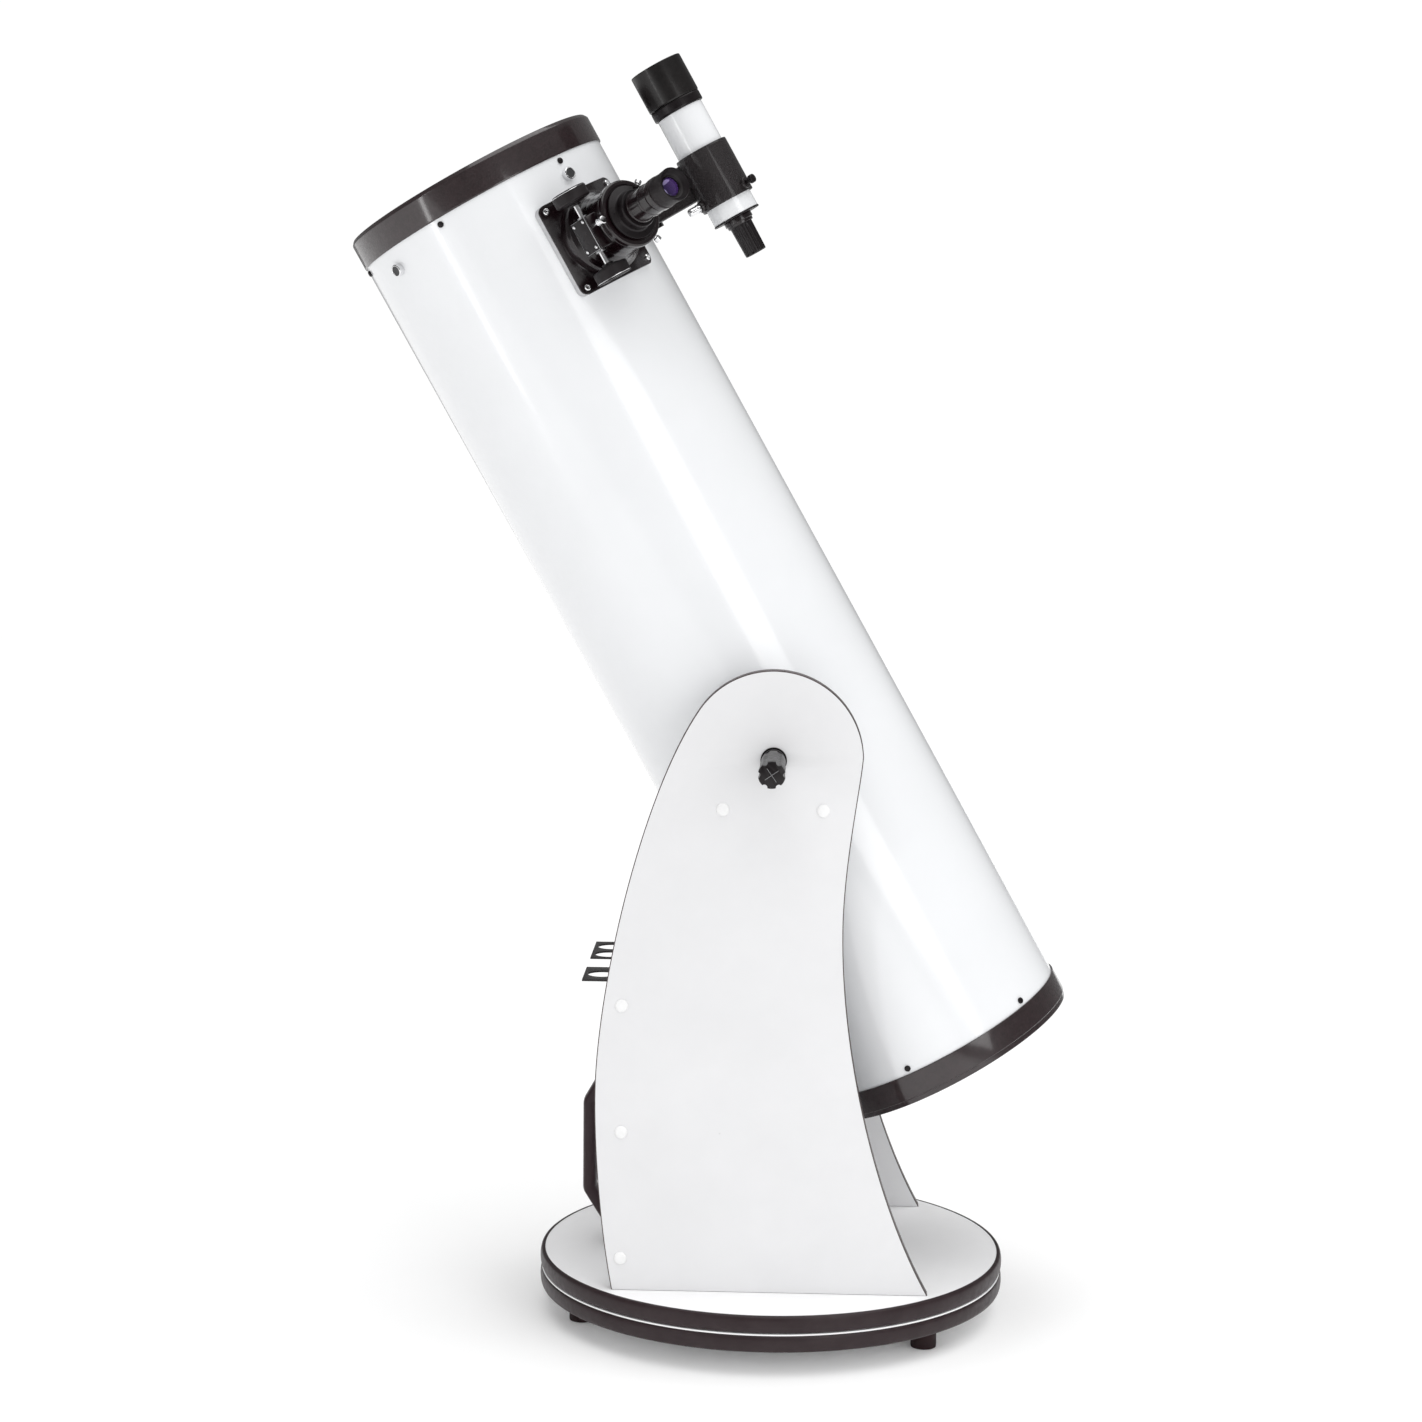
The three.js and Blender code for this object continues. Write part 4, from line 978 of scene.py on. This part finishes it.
def drawtube():
    tube = lathe("drawtube", rounded([(25.5, 137), (28.4, 137), (28.4, 200.4), (25.5, 200.4),
                                      (25.5, 137)], 0.4), 128)
    piece("drawtube_barrel", tube, FOCUSER, "drawtube", "black_metal", ANODISED,
          replaces=("drawtube",))
    rack_root = -30.1
    teeth = [box("bar", rack_root, -27.6, -4, 4, 137, 196, 0.2, 1)]
    pitch = math.pi * (2 * GEAR_PITCH_RADIUS) / GEAR_TEETH
    for k in range(-14, 4):
        z = PINION[1] + k * pitch
        loop = [(rack_root + 0.1, z - 0.9), (-32.2, z - 0.3), (-32.2, z + 0.3),
                (rack_root + 0.1, z + 0.9)]
        teeth.append(loft("tooth", [[(x, y, zz) for x, zz in loop] for y in (-3.8, 3.8)]))
    piece("drawtube_rack", joined("rack", *teeth), FOCUSER, "drawtube", "chrome", STEEL)
    collar = rounded([(25.6, 200.6), (34.6, 200.6, 0.6), (36.4, 202.2, 0.8), (36.4, 203.4, 0.2),
                      (35.9, 203.7, 0.1), (35.9, 204.3, 0.1), (36.4, 204.6, 0.2),
                      (36.4, 208.8, 0.9), (34.8, 210.3, 0.5), (31.2, 210.3, 0.4),
                      (30.6, 209.5, 0.3), (25.6, 209.5), (25.6, 200.6)], 0.3, 4)
    piece("drawtube_collar", lathe("collar", collar, 144), FOCUSER, "drawtube", "black_metal",
          BODY_METAL)
    for label, angle in zip(("upper", "lower"), COLLAR_SCREW_ANGLES):
        thumbscrew(f"collar_thumbscrew_{label}", f"collar_screw_{label}", f"collar_{label}",
                   turned_frame(FOCUSER, angle, COLLAR_SCREW_Z), 26, 36.8, 3.7, 6.6, 1.7)
    thumbscrew("focus_lock_thumbscrew", "focus_lock_screw", "focus_lock",
               FOCUSER @ Matrix.Translation((*LOCK_SCREW, 0)), 188.8, 204.6, 4.2, 10.6, 1.9)


def adapter_and_eyepiece():
    ring = rounded([(16.1, 190), (25.1, 190), (25.1, 210.9), (29, 210.9, 0.5), (29, 212.8, 0.8),
                    (22.4, 214.4, 1.2), (21.1, 215.8, 0.8), (21.1, 223.4, 0.8), (20.1, 225, 0.5),
                    (16.1, 225), (16.1, 190)], 0.3, 5)
    piece("eyepiece_adapter_ring", lathe("adapter", ring, 128), FOCUSER, "adapter", "black_metal",
          ANODISED, replaces=("eyepiece_adapter",))
    thumbscrew("adapter_thumbscrew", "adapter_screw", "adapter_lock",
               turned_frame(FOCUSER, ADAPTER_SCREW_ANGLE, ADAPTER_SCREW_Z), 16.5, 22.2, 3.1, 5.2,
               1.4, ANODISED)
    barrel = rounded([(14.5, 200), (15.87, 200), (15.87, 225.2), (14.5, 225.2), (14.5, 200)], 0.2)
    piece("eyepiece_barrel", lathe("barrel", barrel, 96), FOCUSER, "eyepiece", "chrome", CHROME,
          replaces=("eyepiece_body",))
    body = rounded([(12, 225.3), (17.4, 225.3, 0.6), (17.4, 228, 0.4), (16.7, 229, 0.5),
                    (16.8, 245, 1), (17.4, 246, 0.3), (17.4, 248.4, 0.4), (16.8, 249.2, 0.3),
                    (17.0, 259.6, 0.8), (17.7, 262.0, 0.8), (17.8, 268.6, 0.6), (17.2, 269.6, 0.5),
                    (12, 269.6), (12, 225.3)], 0.3, 4)
    piece("eyepiece_barrel_cover", lathe("body", body, 128), FOCUSER, "eyepiece", "black_metal",
          BODY_METAL)
    cup = rounded([(13, 269.3), (17.0, 269.7, 0.5), (17.3, 273, 1.5), (17.1, 279, 2),
                   (17.6, 287, 2), (18.0, 291.6, 0.6), (17.4, 292.6, 0.5), (16.4, 290.2, 1.5),
                   (13.8, 286.4, 1.5), (11.6, 285.4, 0.5), (11.2, 283.0, 0.4), (11.2, 271),
                   (13, 269.3)], 0.4, 4)
    piece("eyepiece_eyecup", lathe("cup", cup, 128), FOCUSER, "eyepiece", "rubber", KNOB_RUBBER)
    retaining = rounded([(9.8, 282.6), (11.3, 282.6), (11.3, 286.0, 0.4), (10.1, 284.8, 0.2),
                         (9.8, 282.6)], 0.2)
    piece("eye_lens_retaining_ring", lathe("ring", retaining, 96), FOCUSER, "eyepiece",
          "black_metal", ANODISED)
    lens_radius, lens_rim, lens_rise = 10.0, 283.0, 2.2
    lens = [(0, lens_rim - 6), (lens_radius, lens_rim - 6)]
    for step in range(0, 90, 6):
        angle = math.radians(step)
        lens.append((lens_radius * math.cos(angle), lens_rim + lens_rise * math.sin(angle)))
    lens.append((0, lens_rim + lens_rise))
    piece("eye_lens", lathe("lens", lens, 96), FOCUSER, "eyepiece", "lens_glass", LENS,
          replaces=("eyepiece_lens",), sharp=60)


focuser_fixed()
pinion()
drawtube()
adapter_and_eyepiece()


# ------------------------------------------------------------------ finder
STEM = (554.5, 596.0)
SHOE = (551.0, 599.0)
ADJUSTER_STATION = 546
ADJUSTER_ANGLES = (-25, 95)
PLUNGER_ANGLE = 215


def finder_bracket():
    ring = rounded([(28.3, 538.2), (29.6, 538.2, 0.5), (29.8, 540, 0.6), (29.8, 598, 0.6),
                    (29.5, 600, 0.5), (28.3, 600), (28.3, 538.2)], 0.3)
    piece("finder_bracket_ring", lathe("ring", ring, 144), FINDER, "finder_bracket",
          "textured_paint", BRACKET_PAINT, replaces=("finder_bracket",))
    low, high = STEM
    stem_loops = []
    for y in (-8, -7.2, 7.2, 8):
        inset = 0.8 if abs(y) > 7.5 else 0.0
        loop = [(-80, low + inset), (-29.0, low + inset), (-29.0, high - inset),
                (-80, high - inset)]
        stem_loops.append([(x, y, z) for x, z in loop])
    stem = loft("stem", stem_loops)
    window = box("window", -62, -42, -20, 20, 565, 586, 3.0)
    piece("finder_bracket_stem", cut(stem, window), FINDER, "finder_bracket", "textured_paint",
          BRACKET_PAINT)
    foot_loops = [[(x, y * s, z) for x, y in ((-77, -10), (-77, 10), (-86, 14), (-86, -14))]
                  for z, s in ((low, 0.97), (low + 1, 1.0), (high - 1, 1.0), (high, 0.97))]
    piece("finder_bracket_foot", loft("foot", foot_loops), FINDER, "finder_bracket",
          "textured_paint", BRACKET_PAINT)
    for i, angle in enumerate((*ADJUSTER_ANGLES, PLUNGER_ANGLE), 1):
        boss = lathe("boss", rounded([(2.3, 29.0), (6.4, 29.0), (6.0, 33.0), (2.3, 33.0),
                                      (2.3, 29.0)], 0.7), 48)
        piece(f"finder_bracket_boss_{i}", boss, turned_frame(FINDER, angle, ADJUSTER_STATION),
              "finder_bracket", "textured_paint", BRACKET_PAINT)


def finder_shoe():
    profile = [(-96.4, -19), (-96.4, 19), (-79, 19), (-78, 18), (-78, 10.6), (-86.4, 14.8),
               (-86.4, -14.8), (-78, -10.6), (-78, -18), (-79, -19)]
    shoe = loft("shoe", [[(x, y, z) for x, y in profile] for z in SHOE])
    piece("finder_shoe_casting", shoe, FINDER, "tube", "textured_paint", BRACKET_PAINT,
          replaces=("finder_shoe",))


def finder_body():
    barrel = rounded([(24.4, 521.5), (24.4, 520.7), (26, 520.7, 0.3), (26, 646.6, 0.3),
                      (24.4, 646.6), (24.4, 521.5)], 0.2)
    piece("finder_barrel", lathe("barrel", barrel, 144), FINDER, "finder", "tube_paint",
          WHITE_PAINT, replaces=("finder_tube",))
    flange = rounded([(10, 518.8), (26.6, 518.8, 0.4), (26.8, 519.6, 0.3), (26.6, 520.6, 0.3),
                      (10, 520.6), (10, 518.8)], 0.2)
    piece("finder_rear_flange", lathe("flange", flange, 144), FINDER, "finder", "black_metal",
          ANODISED)
    collar = rounded([(8, 510), (14.5, 510, 0.8), (14.8, 513, 0.5), (16, 513.4, 0.5),
                      (16, 518.7, 0.4), (8, 518.7), (8, 510)], 0.3)
    piece("finder_eyepiece_collar", lathe("collar", collar, 96), FINDER, "finder", "black_metal",
          BODY_METAL)

    def flute(angle, r, z):
        if r < 11 or not 478 < z < 508:
            return r
        return r - 1.1 * (0.5 - 0.5 * math.cos(10 * angle)) ** 3
    steps = [(11.2, 476), (11.8, 476.6), (12.0, 478.1)]
    steps += [(12.0 + 0.5 * (z - 478) / 30, z) for z in range(479, 508, 3)]
    steps += [(12.5, 508.5), (12.5, 510.2), (7.5, 510.2), (7.5, 480), (8.8, 476), (11.2, 476)]
    piece("finder_eyepiece_barrel", lathe("eyepiece", steps, 160, flute), FINDER, "finder",
          "black_plastic", BLACK_PLASTIC, replaces=("finder_eyepiece",))
    eye = [(0, 479.0)] + [(7.4 * math.sin(math.radians(a)), 480.2 - 1.2 * math.cos(math.radians(a)))
                          for a in range(10, 91, 10)] + [(7.4, 484), (0, 484)]
    piece("finder_eye_lens", lathe("eye", eye, 64), FINDER, "finder", "lens_glass", LENS, sharp=60)
    lock = rounded([(24.3, 647), (28.2, 647, 0.6), (28.6, 648.6, 0.4), (28.6, 656, 0.4),
                    (28.2, 657.5, 0.4), (24.3, 657.5), (24.3, 647)], 0.3)
    piece("finder_lock_ring_turned", lathe("lock", lock, 240, knurl(80, 0.16, 648.4, 656.2)),
          FINDER, "finder_lock", "black_metal", ANODISED, replaces=("finder_lock_ring",))
    shield = rounded([(24, 658), (28.6, 658, 0.5), (29.2, 659.4, 0.4), (29.2, 699.6, 0.5),
                      (28.8, 700.4, 0.3), (27.7, 700.4, 0.3), (27.5, 668), (23, 668),
                      (23, 650), (24, 650), (24, 658)], 0.3)
    piece("finder_dew_shield", lathe("shield", shield, 160), FINDER, "finder_focus",
          "black_metal", SHIELD_METAL, replaces=("finder_objective_cell",))
    glass = [(0, 655), (22.8, 655), (22.8, 661)] + [
        (22.8 * math.cos(math.radians(a)), 661 + 3.0 * math.sin(math.radians(a)))
        for a in range(6, 85, 6)] + [(0, 664)]
    piece("finder_objective", lathe("glass", glass, 128), FINDER, "finder_focus", "lens_glass",
          OBJECTIVE, replaces=("finder_lens",), sharp=60)


def finder_controls():
    for i, angle in enumerate(ADJUSTER_ANGLES, 1):
        profile = rounded([(0, 27.1), (1.9, 27.1), (1.9, 36.5), (2.6, 36.5), (2.6, 38.2),
                           (4.7, 38.8), (4.7, 43.0), (3.8, 43.6), (0, 43.6)], 0.3)
        screw = lathe("adjuster", profile, 96, knurl(18, 0.55, 38.9, 42.9))
        piece(f"finder_adjuster_{i}", screw, turned_frame(FINDER, angle, ADJUSTER_STATION),
              f"finder_adjuster_{i}", "black_metal", ANODISED,
              replaces=(f"finder_adjust_screw_{i}",))
    profile = rounded([(0, 27.1), (1.9, 27.1), (1.9, 33.6), (4.9, 33.6), (4.9, 36.5), (4.3, 37),
                       (4.3, 45.0), (3.6, 46.8), (1.5, 47), (1.2, 45.4), (0, 45.4)], 0.4)
    piece("finder_spring_plunger", lathe("plunger", profile, 64),
          turned_frame(FINDER, PLUNGER_ANGLE, ADJUSTER_STATION), "finder_plunger", "chrome", CHROME,
          replaces=("finder_plunger",))
    ring = [(27.4 + 0.75 * math.cos(math.radians(a)),
             FINDER_PIVOT + 2.0 * math.sin(math.radians(a))) for a in range(0, 361, 30)]
    piece("finder_o_ring_rubber", lathe("o_ring", ring, 96), FINDER, "finder_gimbal", "rubber",
          RUBBER, replaces=("finder_o_ring",))


finder_bracket()
finder_shoe()
finder_body()
finder_controls()

# ------------------------------------------------------------------ floor, light and camera
FLOOR_SIZE = 14.0
CAMERA_LENS = 78.13                       # millimetres, on a sensor 36 mm wide
CAMERA_PLACE = (0.0551, -3.3894, 1.1024)  # metres from the azimuth axis at floor level
CAMERA_ANGLES = (7.198, -2.167, 0.529)    # pitch down, yaw and roll in degrees


def plain(name, colour, roughness):
    n = Nodes(name).set(Roughness=roughness)
    n.link("Base Color", n.ramp(n.noise(2, 3), [(0.3, tuple(c * 0.99 for c in colour)),
                                                (0.7, colour)]))
    return n.material


def floor():
    bm = bmesh.new()
    bmesh.ops.create_grid(bm, x_segments=1, y_segments=1, size=FLOOR_SIZE / 2)
    mesh = to_mesh("floor", bm)
    mesh.materials.append(plain("floor_paper", (0.985, 0.985, 0.985), 0.9))
    obj = bpy.data.objects.new("floor", mesh)
    SCENE.collection.objects.link(obj)


def area_light(name, location, target, size, power):
    data = bpy.data.lights.new(name, "AREA")
    data.shape = "RECTANGLE"
    data.size, data.size_y = size
    data.energy = power
    obj = bpy.data.objects.new(name, data)
    obj.location = location
    aim = Vector(target) - Vector(location)
    obj.rotation_mode = "QUATERNION"
    obj.rotation_quaternion = aim.to_track_quat("-Z", "Y")
    SCENE.collection.objects.link(obj)


def studio():
    world = bpy.data.worlds.new("studio")
    world.use_nodes = True
    tree = world.node_tree
    background = tree.nodes["Background"]
    background.inputs["Color"].default_value = (1.0, 1.0, 1.0, 1)
    ray = tree.nodes.new("ShaderNodeLightPath")
    strength = tree.nodes.new("ShaderNodeMapRange")
    strength.inputs["To Min"].default_value = 0.60
    strength.inputs["To Max"].default_value = 1.02
    tree.links.new(ray.outputs["Is Camera Ray"], strength.inputs["Value"])
    # Polished surfaces see a darker room, as in a studio with a few bright panels.
    dimmer = tree.nodes.new("ShaderNodeMapRange")
    dimmer.inputs["To Min"].default_value = 1.0
    dimmer.inputs["To Max"].default_value = 0.35
    tree.links.new(ray.outputs["Is Glossy Ray"], dimmer.inputs["Value"])
    product = tree.nodes.new("ShaderNodeMath")
    product.operation = "MULTIPLY"
    tree.links.new(strength.outputs["Result"], product.inputs[0])
    tree.links.new(dimmer.outputs["Result"], product.inputs[1])
    tree.links.new(product.outputs["Value"], background.inputs["Strength"])
    SCENE.world = world
    area_light("left_strip", (-2.0, -2.2, 0.95), (0, 0, 0.8), (0.14, 1.7), 6)
    area_light("right_softbox", (1.9, -2.9, 1.5), (0, 0, 0.8), (1.3, 1.9), 21)
    sun = bpy.data.lights.new("overhead", "SUN")
    sun.energy = 1.7
    sun.angle = math.radians(70)
    overhead = bpy.data.objects.new("overhead", sun)
    overhead.rotation_euler = (math.radians(8), math.radians(10), 0)
    SCENE.collection.objects.link(overhead)
    SCENE.view_settings.view_transform = "Standard"
    SCENE.view_settings.look = "None"
    SCENE.view_settings.exposure = 0.0


def camera():
    """Camera 3.4 m in front of the telescope and 1.1 m above the floor."""
    pitch, yaw, roll = (math.radians(a) for a in CAMERA_ANGLES)
    forward = Vector((math.sin(yaw) * math.cos(pitch), math.cos(yaw) * math.cos(pitch),
                      -math.sin(pitch)))
    level = Vector((math.cos(yaw), -math.sin(yaw), 0))
    up = level.cross(forward)
    right = level * math.cos(roll) + up * math.sin(roll)
    up = up * math.cos(roll) - level * math.sin(roll)
    data = bpy.data.cameras.new("camera")
    data.lens = CAMERA_LENS
    data.sensor_width = 36.0
    obj = bpy.data.objects.new("camera", data)
    turn = Matrix((right, up, -forward)).transposed().to_4x4()
    place = Vector((AZIMUTH.x, 0, 0)) + Vector(CAMERA_PLACE)
    obj.matrix_world = Matrix.Translation(place) @ turn
    data.clip_start, data.clip_end = 0.05, 60
    SCENE.collection.objects.link(obj)
    SCENE.camera = obj


floor()
studio()
camera()
